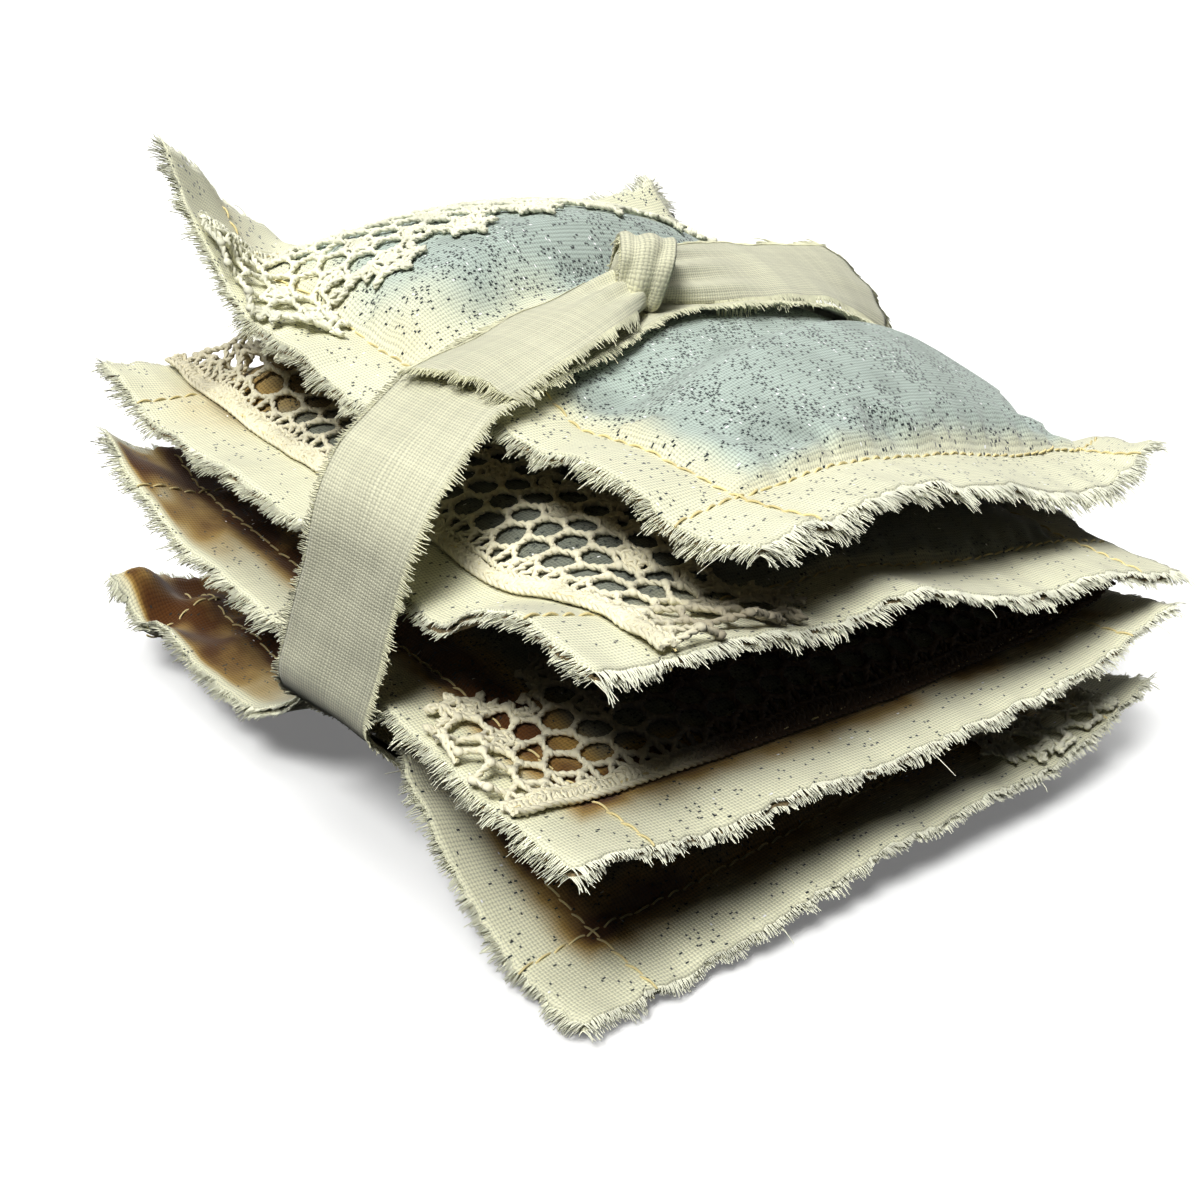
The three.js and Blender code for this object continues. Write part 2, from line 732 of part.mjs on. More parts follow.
// The left end lies back on the band
function leftTail() {
  const start = KNOT_X - knotReach(-1);
  const end = start - LEFT_TAIL;
  const between = outer.filter((p) => p.y > topLevel && p.x < start - 1 && p.x > end + 1).map((p) => p.x);
  const steps = [0.1, 0.2, 0.35].map((share) => start - share * LEFT_TAIL);
  const places = [start, ...between, ...steps, end].sort((p, q) => q - p);
  return tailSolid(places.map((x) => {
    const share = (start - x) / LEFT_TAIL;
    const rise = TAIL_RISE * Math.max(0, 1 - share / 0.5) ** 2;
    return { x, y: tieTopY(x) + TAIL_SHIFT * share, z: bandTop(x) + PLAY + rise, width: tailWidth(share) };
  }));
}

// The right end stands out from the knot over the falling band
function rightTail() {
  const start = KNOT_X + knotReach(1);
  const stations = [];
  const steps = 10;
  for (let k = 0; k <= steps; k += 1) {
    const share = k / steps;
    const x = start + share * RIGHT_TAIL;
    const z = bandTop(start) + PLAY + TAIL_RISE - TAIL_DROOP * share ** 2;
    stations.push({ x, y: tieTopY(x) + TAIL_SHIFT * share, z: Math.max(z, bandTop(x) + PLAY), width: tailWidth(share) });
  }
  return tailSolid(stations);
}

const TIE_COLOUR = 0xe2d7c2;
bundle.add(named('tie_band', tieBand(), TIE_COLOUR));
bundle.add(named('tie_knot', knot, TIE_COLOUR));
bundle.add(named('tie_left_tail', leftTail(), TIE_COLOUR));
bundle.add(named('tie_right_tail', rightTail(), TIE_COLOUR));

export default bundle;
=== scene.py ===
# %% [markdown]
# A bundle of lavender sachets. Four small cotton pillows with frayed edges and crochet lace lie on
# top of each other, and one torn strip of cotton ties them together.
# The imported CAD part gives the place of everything. Blender adds what soft goods need: puffed and
# rippled cloth, loose threads, stitches, lace made of twisted yarn, and woven materials.
# All sizes below are in millimetres and are turned into metres when a mesh is made.

import math

import bpy
import numpy as np
from mathutils import Matrix, Vector
from mathutils.bvhtree import BVHTree


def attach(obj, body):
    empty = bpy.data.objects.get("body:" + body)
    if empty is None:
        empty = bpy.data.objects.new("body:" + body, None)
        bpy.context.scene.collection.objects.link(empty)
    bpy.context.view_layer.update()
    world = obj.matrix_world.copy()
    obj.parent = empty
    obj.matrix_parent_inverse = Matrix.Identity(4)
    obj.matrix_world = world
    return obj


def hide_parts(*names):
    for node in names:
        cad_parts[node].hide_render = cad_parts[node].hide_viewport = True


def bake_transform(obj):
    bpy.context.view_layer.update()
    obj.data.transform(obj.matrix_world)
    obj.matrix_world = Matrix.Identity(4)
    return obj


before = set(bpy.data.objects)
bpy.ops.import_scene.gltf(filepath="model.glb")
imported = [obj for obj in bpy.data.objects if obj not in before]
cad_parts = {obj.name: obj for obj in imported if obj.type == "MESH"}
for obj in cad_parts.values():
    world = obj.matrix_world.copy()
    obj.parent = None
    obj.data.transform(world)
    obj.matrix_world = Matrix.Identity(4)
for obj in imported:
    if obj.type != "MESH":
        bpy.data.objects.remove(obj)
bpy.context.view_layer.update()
scene = bpy.context.scene
MM = 0.001

# %% [markdown]
# The camera stands where the photographer stood: in front of the bundle's front left corner and
# a little above it, tilted a few degrees. The place came from matching the corners of the sachets
# in the photograph. It is written down as a place, a point to look at and a tilt.

# %% Camera
CAMERA_PLACE = Vector((-166.95, -154.88, 118.69))
CAMERA_AIM = Vector((-2.12, 3.82, 17.96))
CAMERA_TILT = math.radians(6.465)
camera_data = bpy.data.cameras.new("photo_camera")
camera_data.lens = 49.8
camera_data.sensor_width = 36
camera_data.clip_start = 0.01
camera = bpy.data.objects.new("photo_camera", camera_data)
scene.collection.objects.link(camera)
aimed = (CAMERA_AIM - CAMERA_PLACE).to_track_quat("-Z", "Y").to_matrix().to_4x4()
camera_turn = aimed @ Matrix.Rotation(CAMERA_TILT, 4, "Z")
camera.matrix_world = Matrix.Translation(CAMERA_PLACE * MM) @ camera_turn
scene.camera = camera
print("camera", [round(value, 3) for value in camera.location])

# %% [markdown]
# The light is that of a small studio: a broad lamp straight above, a stronger one on the left in
# place of a window, and a weak one from behind, so that the far sides are not black. The pale
# floor has bright walls round it, which the camera sees but which throw no light on the cloth.
# Steep contrast keeps the gaps between the sachets dark, as they are in the photograph.

# %% Floor and light
world = bpy.data.worlds.new("studio")
scene.world = world
world.use_nodes = True
surrounding = world.node_tree.nodes["Background"].inputs
surrounding["Color"].default_value = (1.0, 1.0, 0.98, 1)
surrounding["Strength"].default_value = 0.006
scene.view_settings.view_transform = "Standard"
scene.view_settings.gamma = 0.78
scene.view_settings.exposure = 0.25


def far_lamp(name, way, spread, power):
    lamp = bpy.data.lights.new(name, "SUN")
    lamp.angle = math.radians(spread)
    lamp.energy = power
    holder = bpy.data.objects.new(name, lamp)
    holder.rotation_euler = Vector(way).to_track_quat("-Z", "Y").to_euler()
    scene.collection.objects.link(holder)


far_lamp("sky_light", way=(0.2, 0.05, -1.0), spread=35, power=1.15)
far_lamp("window_light", way=(0.76, 0.27, -1.0), spread=18, power=2.6)
far_lamp("back_light", way=(-0.6, -0.6, -0.5), spread=30, power=0.4)

ROOM_HALF = 4000.0
ROOM_HEIGHT = 2000.0
FLOOR_GAP = 0.3
square = [(x * ROOM_HALF, y * ROOM_HALF) for x, y in ((-1, -1), (1, -1), (1, 1), (-1, 1))]
room_corners = [(x * MM, y * MM, z * MM) for z in (-FLOOR_GAP, ROOM_HEIGHT) for x, y in square]
room_walls = [(k, (k + 1) % 4, (k + 1) % 4 + 4, k + 4) for k in range(4)]
floor_mesh = bpy.data.meshes.new("floor")
floor_mesh.from_pydata(room_corners, [], [(0, 1, 2, 3)] + room_walls)
floor = bpy.data.objects.new("floor", floor_mesh)
scene.collection.objects.link(floor)
floor.visible_diffuse = False
floor.visible_shadow = False
for name, glow in (("white_paper", 0.2), ("bright_wall", 1.0)):
    paper = bpy.data.materials.new(name)
    paper.use_nodes = True
    look = paper.node_tree.nodes["Principled BSDF"].inputs
    look["Base Color"].default_value = (0.80, 0.80, 0.79, 1)
    look["Emission Color"].default_value = (1, 1, 1, 1)
    look["Emission Strength"].default_value = glow
    look["Roughness"].default_value = 0.9
    floor_mesh.materials.append(paper)
floor_mesh.polygons.foreach_set("material_index", [0] + [1] * len(room_walls))

# %% [markdown]
# Every material is a small tree of nodes. A few helpers keep the trees readable: one makes a node
# and joins what it is given, and the others do a sum, mix two colours, turn one range of values
# into another, draw noise, read a painted value, darken a colour or start a material.

# %% Node helpers
def node(tree, kind, links=None, **settings):
    made = tree.nodes.new(kind)
    for name, value in settings.items():
        setattr(made, name, value)
    for name, value in (links or {}).items():
        if isinstance(value, bpy.types.NodeSocket):
            tree.links.new(value, made.inputs[name])
        else:
            made.inputs[name].default_value = value
    return made


def calc(tree, operation, first, second=0.0):
    return node(tree, "ShaderNodeMath", {0: first, 1: second}, operation=operation).outputs[0]


def mixed(tree, share, first, second, how="MIX"):
    made = node(tree, "ShaderNodeMix", {0: share, 6: first, 7: second}, data_type="RGBA", blend_type=how)
    return made.outputs[2]


def between(tree, value, low, high, to_low=0.0, to_high=1.0):
    links = {0: value, 1: low, 2: high, 3: to_low, 4: to_high}
    return node(tree, "ShaderNodeMapRange", links, interpolation_type="SMOOTHSTEP").outputs[0]


def noise(tree, place, scale, detail):
    return node(tree, "ShaderNodeTexNoise", {"Vector": place, "Scale": scale, "Detail": detail}).outputs


def row_chance(tree, row):
    return node(tree, "ShaderNodeTexWhiteNoise", {"W": row}, noise_dimensions="1D").outputs[0]


def painted_value(tree, name):
    return node(tree, "ShaderNodeAttribute", attribute_name=name).outputs["Fac"]


def darker(colour, share):
    return [value * share for value in colour[:3]] + [1]


def new_material(name, roughness, sheen):
    material = bpy.data.materials.new(name)
    material.use_nodes = True
    shader = material.node_tree.nodes["Principled BSDF"]
    shader.inputs["Roughness"].default_value = roughness
    shader.inputs["Sheen Weight"].default_value = sheen
    shader.inputs["Sheen Roughness"].default_value = 0.6
    shader.inputs["Specular IOR Level"].default_value = 0.2
    return material, material.node_tree, shader


print("helpers for nodes and materials are ready")

# %% [markdown]
# The sachets and the tie are plain woven cotton: each thread passes over one and under the next.
# The weave is worked out from the cloth's own map, on which one unit is the side of a sachet, so
# the threads follow every fold. Two sine waves give the threads, and their product says which of
# the two is on top. The threads wander a little, and each has its own shade.
# Short dark and silver flecks are spun into the yarn of the sachets. They lie along single
# threads, so they are drawn in rows of the same map; the silver ones are painted plain white, a
# painted glint. Where the lavender lies behind the cloth it shows through as a cool grey, much
# darker on the lower sachets, where it is also painted shade. Where the stain and shade value is
# painted the cloth turns ochre or brown: yellowing, and painted shade in the gaps between sachets.

# %% Woven cotton
CUT_SIDE = 115.0
THREADS = 240.0
# Ochre and the brown after it are partly yellowed cloth and partly painted shade for the gaps.
OCHRE = (0.54, 0.37, 0.12, 1)
STAIN_AND_SHADE_BROWN = (0.15, 0.062, 0.014, 1)
DARK_FLECK = (0.03, 0.04, 0.04, 1)
# The silver flecks are painted plain white: a painted glint, not a metal.
GLINT_WHITE_FLECK = (1.0, 1.0, 1.0, 1)


def weave(tree):
    place = node(tree, "ShaderNodeUVMap", uv_map="cloth").outputs[0]
    wander = noise(tree, place, 26.0, 3.0)["Color"]
    links = {0: wander, 1: (0.002, 0.002, 0.0), 2: place}
    loose = node(tree, "ShaderNodeVectorMath", links, operation="MULTIPLY_ADD").outputs[0]
    counted = node(tree, "ShaderNodeVectorMath", {0: loose, "Scale": THREADS}, operation="SCALE").outputs[0]
    warp_at, weft_at = node(tree, "ShaderNodeSeparateXYZ", {0: counted}).outputs[:2]
    warp_wave = calc(tree, "SINE", calc(tree, "MULTIPLY", warp_at, math.pi))
    weft_wave = calc(tree, "SINE", calc(tree, "MULTIPLY", weft_at, math.pi))
    over = calc(tree, "MULTIPLY", calc(tree, "MULTIPLY", warp_wave, weft_wave), 0.5)
    warp = calc(tree, "MULTIPLY", calc(tree, "ABSOLUTE", warp_wave), calc(tree, "ADD", 0.5, over))
    weft = calc(tree, "MULTIPLY", calc(tree, "ABSOLUTE", weft_wave), calc(tree, "SUBTRACT", 0.5, over))
    height = calc(tree, "MAXIMUM", warp, weft)
    return place, warp_at, weft_at, height


def thread_shade(tree, warp_at, weft_at):
    shades = [row_chance(tree, calc(tree, "FLOOR", at)) for at in (warp_at, weft_at)]
    return calc(tree, "ADD", shades[0], shades[1])


def flecks(tree, along, across, length, share):
    """Marks along single threads, and a colour for each that tells one kind from another."""
    row = calc(tree, "FLOOR", across)
    shift = calc(tree, "MULTIPLY", row_chance(tree, row), 37.0)
    cell = calc(tree, "ADD", calc(tree, "DIVIDE", along, length), shift)
    key = node(tree, "ShaderNodeCombineXYZ", {0: calc(tree, "FLOOR", cell), 1: row}).outputs[0]
    chance = node(tree, "ShaderNodeTexWhiteNoise", {"Vector": key}, noise_dimensions="2D").outputs
    there = calc(tree, "LESS_THAN", chance[0], share)
    in_length = calc(tree, "LESS_THAN", calc(tree, "FRACT", cell), 0.5)
    from_middle = calc(tree, "ABSOLUTE", calc(tree, "SUBTRACT", calc(tree, "FRACT", across), 0.5))
    in_width = calc(tree, "LESS_THAN", from_middle, 0.22)
    return calc(tree, "MULTIPLY", there, calc(tree, "MULTIPLY", in_length, in_width)), chance[1]


def with_lavender_stain_and_shade(tree, place, paint, lavender, fill):
    """Cool grey where lavender lies behind the cloth, ochre and brown for yellowing and painted shade."""
    cloud = noise(tree, place, 9.0, 5.0)[0]
    patch = calc(tree, "ADD", fill, calc(tree, "MULTIPLY", calc(tree, "SUBTRACT", cloud, 0.5), 0.4))
    cool = mixed(tree, between(tree, cloud, 0.45, 0.75), lavender, darker(lavender, 0.75))
    shown = calc(tree, "MULTIPLY", between(tree, patch, 0.0, 0.9), between(tree, fill, 0.0, 0.3))
    paint = mixed(tree, shown, paint, cool)
    uneven = between(tree, cloud, 0.3, 0.6, 0.5, 1.0)
    spread = calc(tree, "MULTIPLY", painted_value(tree, "stain_and_shade"), uneven)
    # Ochre, then dark brown where the value is high: yellowing and painted shade.
    paint = mixed(tree, between(tree, spread, 0.0, 0.6), paint, OCHRE)
    return mixed(tree, between(tree, spread, 0.4, 1.0), paint, STAIN_AND_SHADE_BROWN)


def with_flecks(tree, place, warp_at, weft_at, paint, fill, fleck_share):
    """Dark flecks and silver ones painted white as a glint, in clumps, most of them over the lavender."""
    clump = noise(tree, place, 16.0, 2.0)[0]
    share = between(tree, clump, 0.35, 0.7, 0.3 * fleck_share, 1.7 * fleck_share)
    share = calc(tree, "MULTIPLY", share, between(tree, fill, 0.0, 1.0, 0.35, 1.5))
    long_marks, long_kind = flecks(tree, warp_at, weft_at, 2.0, share)
    short_marks, short_kind = flecks(tree, weft_at, warp_at, 1.4, share)
    marks = calc(tree, "MAXIMUM", long_marks, short_marks)
    kind = mixed(tree, short_marks, long_kind, short_kind)
    kind = node(tree, "ShaderNodeSeparateColor", {0: kind}).outputs[1]
    # Some flecks are painted white, a painted glint of silver thread.
    glinting = calc(tree, "GREATER_THAN", kind, 0.94)
    spun_in = mixed(tree, glinting, DARK_FLECK, GLINT_WHITE_FLECK)
    return mixed(tree, marks, paint, spun_in), marks


def cotton(name, colour, lavender=None, fleck_share=0.0):
    material, tree, shader = new_material(name, 0.92, 0.25)
    place, warp_at, weft_at, height = weave(tree)
    shade = thread_shade(tree, warp_at, weft_at)
    dirt = noise(tree, place, 7.0, 4.0)[0]
    paint = mixed(tree, between(tree, dirt, 0.35, 0.7, 0.0, 0.22), colour, darker(colour, 0.8))
    pore = 0.62
    uneven = 0.08
    if lavender:
        fill = painted_value(tree, "fill")
        paint = with_lavender_stain_and_shade(tree, place, paint, lavender, fill)
        pore = between(tree, fill, 0.0, 1.0, 0.62, 0.55)
        uneven = 0.03
    lit = between(tree, height, 0.05, 0.7, pore, 0.98)
    lit = calc(tree, "ADD", lit, calc(tree, "MULTIPLY", shade, uneven))
    grey = node(tree, "ShaderNodeCombineColor", {0: lit, 1: lit, 2: lit}).outputs[0]
    paint = mixed(tree, 1.0, paint, grey, "MULTIPLY")
    if lavender:
        paint, marks = with_flecks(tree, place, warp_at, weft_at, paint, fill, fleck_share)
        tree.links.new(between(tree, marks, 0.0, 1.0, 0.92, 0.4), shader.inputs["Roughness"])
    tree.links.new(paint, shader.inputs["Base Color"])
    bump = node(tree, "ShaderNodeBump", {"Height": height, "Strength": 0.35, "Distance": 0.0002})
    tree.links.new(bump.outputs[0], shader.inputs["Normal"])
    return material


CREAM = (0.88, 0.87, 0.67, 1)
sachet_cotton = cotton("sachet_cotton", CREAM, (0.57, 0.65, 0.59, 1), 0.19)
# The lower sachets show a darker grey behind the cloth: lavender, and painted shade.
shaded_stack_cotton = cotton("shaded_stack_cotton", CREAM, (0.27, 0.29, 0.24, 1), 0.09)
# Undersides: brown cloth and near-black lavender, painted shade for cloth that faces into the gaps.
underside_shade_cotton = cotton("underside_shade_cotton", (0.42, 0.33, 0.19, 1), (0.15, 0.14, 0.10, 1), 0.04)
tie_cotton = cotton("tie_cotton", (0.71, 0.70, 0.54, 1))
print("woven materials:", sachet_cotton.name, shaded_stack_cotton.name, underside_shade_cotton.name, tie_cotton.name)

# %% [markdown]
# Yarn has no weave of its own to draw. Loose threads, stitches and lace get a mottled colour and
# the fine bump of twisted fibres, both from a noise in object coordinates. The old lace is also
# painted brown to near black where its stain and shade value says so: a stain, and painted shade
# where it runs into a gap.

# %% Yarns and lavender
def yarn(name, colour, grain, stain_and_shade_colour=None):
    material, tree, shader = new_material(name, 0.9, 0.1)
    place = node(tree, "ShaderNodeTexCoord").outputs["Object"]
    mottle = noise(tree, place, 160.0, 3.0)[0]
    paint = mixed(tree, between(tree, mottle, 0.3, 0.6), darker(colour, 0.82), colour)
    if stain_and_shade_colour:
        paint = mixed(tree, painted_value(tree, "stain_and_shade"), paint, stain_and_shade_colour)
    tree.links.new(paint, shader.inputs["Base Color"])
    fibre = noise(tree, place, grain, 2.0)[0]
    bump = node(tree, "ShaderNodeBump", {"Height": fibre, "Strength": 0.5, "Distance": 0.0001})
    tree.links.new(bump.outputs[0], shader.inputs["Normal"])
    return material


loose_yarn = yarn("loose_yarn", (0.93, 0.93, 0.78, 1), 4000.0)
tie_yarn = yarn("tie_yarn", (0.80, 0.79, 0.60, 1), 4000.0)
lace_yarn = yarn("lace_yarn", (0.90, 0.89, 0.73, 1), 3000.0)
# Where its painted value is high this lace is near black: a stain, and painted shade in the gaps.
stained_shaded_lace_yarn = yarn("stained_shaded_lace_yarn", (0.88, 0.84, 0.66, 1), 3000.0, (0.09, 0.05, 0.02, 1))
seam_yarn = yarn("seam_yarn", (0.83, 0.73, 0.42, 1), 3500.0)
dried_buds = yarn("dried_buds", (0.30, 0.26, 0.38, 1), 900.0)
print("yarns:", loose_yarn.name, tie_yarn.name, lace_yarn.name, stained_shaded_lace_yarn.name, seam_yarn.name)

# %% [markdown]
# The four sachets differ only in how they lie. Each has a table of how far its cloth stands above
# its own centre at nine places, the waves in its raw edges and its turned corners. They come from
# the CAD part, so the cloth lies where the solids are, except that the far left corners turn up 2 or
# 3 mm further. The woven part of a panel ends a little inside the cut edge, since the outermost
# threads are frayed and are added later.
# In the table, "at", "yaw" and "level" place a sachet, and "up" and "down" say how far it swells.
# "lift" holds the nine heights, row by row from the front. A wave is a side, a place along it, a
# height and a width, and a curl is a corner, a height and how far it is drawn in. "ripple" and
# "crumple" are the heights of the ripples in the raw edges and of the creases at the far left
# corner. "fray" gives the length of the loose threads at the front, back, left and right. The stain
# and shade value says how strongly the cloth is painted ochre and brown, partly for yellowing and
# partly as painted shade in the gaps, and "brown" how wide the patch at the far left corner is.
# "pale" and "clear" say how much of the cloth inside the seams stays cream.

# %% The sachets
HALF = CUT_SIDE / 2
FRAY = 1.8
SEAM = 45.0
COTTON = 0.5
PLAY = 0.3
CROWN = 6.9
TIE_WIDTH = 18.0
TOP_LEVEL = 56.177
# The two lowest sachets get most stain and shade: their ochre and brown is mostly painted shade.
SACHETS = {
    "bottom": {
        "body": "bundle", "lace": "right",
        "at": (0.2, -1.2), "yaw": -1.2, "level": 8.65, "up": CROWN, "down": 9.2,
        "stain_and_shade": 1.25, "brown": 27, "pale": 0, "clear": 2, "ripple": 0.7, "crumple": 2.2,
        "fray": (1.3, 1.6, 1.5, 1.6),
        "lift": [[-8, -3, 2], [-2, 0, 1], [2, -1, -1]],
        "waves": [("left", -0.18, 15, 0.32), ("right", 0.05, 6, 0.3), ("front", -0.02, 2, 0.3)],
        "curls": [((1, -1), 5, 1), ((-1, 1), 2, 0)],
    },
    "third": {
        "body": "third_sachet", "lace": "front",
        "at": (-2.6, -2.7), "yaw": -1.3, "level": 24.953, "up": CROWN, "down": CROWN,
        "stain_and_shade": 1.4, "brown": 17, "pale": 0, "clear": 2, "ripple": 0.5, "crumple": 0.8,
        "fray": (1.5, 1.9, 2.0, 1.9),
        "lift": [[-1.5, -2.5, 2], [1.5, 0, 0], [6, 2, 1]],
        "waves": [("left", -0.3, 1.5, 0.2)],
        "curls": [((-1, 1), 7, 1), ((1, -1), 3, 0.6)],
    },
    "second": {
        "body": "second_sachet", "lace": "left",
        "at": (-1.4, -0.8), "yaw": -1.2, "level": 40.362, "up": CROWN, "down": CROWN,
        "stain_and_shade": 0.12, "brown": 1, "pale": 0, "clear": 4, "ripple": 0.9, "crumple": 0,
        "fray": (1.9, 1.9, 1.8, 1.9),
        "lift": [[4, 1.5, -7], [1.5, 0, -4], [3.5, 1, -2]],
        "waves": [("left", -0.78, 2.5, 0.16), ("left", -0.45, -2.5, 0.16), ("front", -0.13, 2, 0.14),
                  ("front", 0.3, -1.5, 0.2)],
        "curls": [((-1, 1), 3, 1)],
    },
    "top": {
        "body": "bundle", "lace": "back",
        "at": (11.1, 5.3), "yaw": 4.4, "level": TOP_LEVEL, "up": 12.0, "down": CROWN,
        "stain_and_shade": 0.12, "brown": 1, "pale": 0.45, "clear": 9, "ripple": 1.1, "crumple": 0,
        "fray": (2.6, 2.1, 2.1, 2.2),
        "lift": [[-1, -5, -15.5], [-4, 0, -13], [5, 8, 2]],
        "waves": [("left", -0.5, 5, 0.24), ("left", 0.55, 3, 0.2), ("front", -0.45, 2.5, 0.25),
                  ("front", 0.35, -2.5, 0.25), ("right", 0, -2.5, 0.4)],
        "curls": [((-1, 1), 19, 3), ((1, -1), 7, 4.5), ((1, 1), 7, 1.4)],
    },
}


def smooth(value, start, end):
    share = np.clip((value - start) / (end - start), 0, 1)
    return share * share * (3 - 2 * share)


def tie_top_y(x):
    return 2 + (x + 3) * (0.19 - 0.0018 * (x + 3))


def tie_bottom_y(x):
    return -1.7 + 0.098 * x


def tie_y(x, z):
    share = smooth(z / TOP_LEVEL, 0.2, 0.95)
    return tie_bottom_y(x) * (1 - share) + tie_top_y(x) * share


def beside_tie(y, course, shoulder):
    flat = TIE_WIDTH / 2 + shoulder
    return smooth(abs(y - course), flat, flat + 10)


def in_bundle(sachet, x, y):
    turn = math.radians(sachet["yaw"])
    along = sachet["at"][0] + x * math.cos(turn) - y * math.sin(turn)
    return along, sachet["at"][1] + x * math.sin(turn) + y * math.cos(turn)


def wave_share(wave, u, v):
    side, at, rise, width = wave
    out, place = {"left": (-u, v), "right": (u, v), "front": (-v, u), "back": (v, u)}[side]
    return np.exp(-(((place - at) / width) ** 2)) * smooth(out, 0.55, 1)


def curl_share(corner, u, v):
    return np.clip(((u * corner[0] + v * corner[1]) / 2 - 0.74) / 0.26, 0, 1) ** 1.4


def middle(sachet, x, y):
    u, v = x / HALF, y / HALF
    across = (u * (u - 1) / 2, 1 - u * u, u * (u + 1) / 2)
    along = (v * (v - 1) / 2, 1 - v * v, v * (v + 1) / 2)
    z = sum(sachet["lift"][r][c] * along[r] * across[c] for r in range(3) for c in range(3))
    z = z + sum(wave[2] * wave_share(wave, u, v) for wave in sachet["waves"])
    return z + sum(rise * curl_share(corner, u, v) for corner, rise, pull in sachet["curls"])


def fullness(x, y):
    return (np.clip(1 - (x / SEAM) ** 2, 0, 1) * np.clip(1 - (y / SEAM) ** 2, 0, 1)) ** 0.62


print("sachets from the floor up:", ", ".join(SACHETS))

# %% [markdown]
# Real cloth is never as even as a formula. Soft waves, each a sum of sine waves in fixed
# directions, crinkle the raw edges, pucker the cloth along the seams and part the two layers of
# the edge a little.

# %% Cloth shapes
SINES = 7
LUMP_AT = (-35, 39)
LUMP_RISE = 5
TIE_DENT = 7
BACK_DROP = 7
RIGHT_PULL = 4
NEAR_PULL = {"bottom": 1.3, "third": 2.6, "second": 2.6}


def soft_waves(x, y, size, seed):
    chance = np.random.default_rng(seed)
    turns = chance.uniform(0, math.pi, SINES)
    phases = chance.uniform(0, 6.3, SINES)
    stretches = chance.uniform(0.7, 1.5, SINES)
    total = 0
    for turn, phase, stretch in zip(turns, phases, stretches):
        along = x * math.cos(turn) + y * math.sin(turn)
        total = total + np.sin(along * 2 * math.pi / (size * stretch) + phase)
    return total / SINES ** 0.5


def from_seam(x, y):
    return np.maximum(abs(x), abs(y)) - SEAM


def lace_lump(x, y):
    """Where the filling of the second sachet has gathered under the far end of its lace."""
    return np.exp(-((x - LUMP_AT[0]) / 9) ** 2 - ((y - LUMP_AT[1]) / 8) ** 2)


def edge_ripple(x, y, seed):
    """Waves that grow from the seams to the raw edges."""
    ripple = 0
    for turn, (out, along) in enumerate(((-x, y), (x, y), (-y, x), (y, x))):
        wide = soft_waves(along, 0.2 * out, 19, seed + 5 + turn)
        narrow = soft_waves(along, 0.2 * out, 8, seed + 10 + turn)
        ripple = ripple + smooth(out, SEAM - 1, HALF + 4) * (wide + 0.35 * narrow)
    return ripple


def middle_height(name, x, y, seed):
    """The surface between the two panels, with its ripples and its crumpled corner."""
    sachet = SACHETS[name]
    mid = middle(sachet, x, y)
    mid = mid + sachet["ripple"] * edge_ripple(x, y, seed)
    far_corner = np.exp(-(np.hypot(x + HALF, y - HALF) / 22) ** 2)
    mid = mid + sachet["crumple"] * far_corner * soft_waves(x, y, 11, seed + 2)
    if name == "top":
        mid = mid - BACK_DROP * smooth(y, SEAM, HALF) * np.exp(-((x / HALF + 0.05) / 0.53) ** 4)
    return mid


def swelling(name, face, x, y, seed):
    """How far the lavender pushes a panel out of that surface."""
    sachet = SACHETS[name]
    side = 1 if face == "front" else -1
    bx, by = in_bundle(sachet, x, y)
    swell = sachet["up"] if face == "front" else sachet["down"]
    if face == "front" and name == "top":
        swell = swell - TIE_DENT * (1 - beside_tie(by, tie_top_y(bx), 4))
    swell = swell * fullness(x, y)
    near_seam = np.exp(-((from_seam(x, y) + 2.5) / 3) ** 2)
    swell = swell + near_seam * (0.25 * soft_waves(x, y, 5, seed + 4 + side) - 0.1)
    if name == "second" and face == "front":
        swell = swell + LUMP_RISE * lace_lump(x, y)
    return swell


def drawn_in(name, x, y):
    """Where a point moves sideways as corners turn up and edges are pulled in."""
    sachet = SACHETS[name]
    u, v = x / HALF, y / HALF
    px, py = x, y
    for corner, rise, pull in sachet["curls"]:
        px = px - pull * corner[0] * curl_share(corner, u, v)
        py = py - pull * corner[1] * curl_share(corner, u, v)
    if name == "top":
        return px - RIGHT_PULL * wave_share(sachet["waves"][-1], u, v), py
    near_corner = np.exp(-(np.hypot(x + HALF, y + HALF) / 45) ** 2)
    shift = NEAR_PULL[name] * near_corner
    return px - shift, py + shift


def panel_shape(name, face, x, y):
    sachet = SACHETS[name]
    seed = 20 * list(SACHETS).index(name)
    side = 1 if face == "front" else -1
    outside = smooth(from_seam(x, y), -1, HALF - SEAM)
    gape = np.clip(soft_waves(x, y, 17, seed + 3) + 0.4, 0, None)
    part = PLAY / 2 + COTTON + 0.1 * outside * gape
    mid = middle_height(name, x, y, seed)
    swell = swelling(name, face, x, y, seed)
    if name == "bottom":
        bx, by = in_bundle(sachet, x, y)
        ground = (COTTON + PLAY) * (1 - beside_tie(by, tie_bottom_y(bx), 12)) - sachet["level"]
        mid = np.maximum(mid, ground + COTTON + PLAY / 2)
    z = mid + side * (part + swell)
    if name == "bottom":
        z = np.maximum(z, ground + (0 if face == "back" else COTTON + PLAY))
    bx, by = in_bundle(sachet, *drawn_in(name, x, y))
    return np.stack([bx, by, z + sachet["level"]], axis=-1)


def cloth_lines(edge_cells, inside_cells):
    edge = np.linspace(SEAM, HALF - FRAY, edge_cells + 1)
    return np.concatenate([-edge[::-1], np.linspace(-SEAM, SEAM, inside_cells + 1)[1:-1], edge])


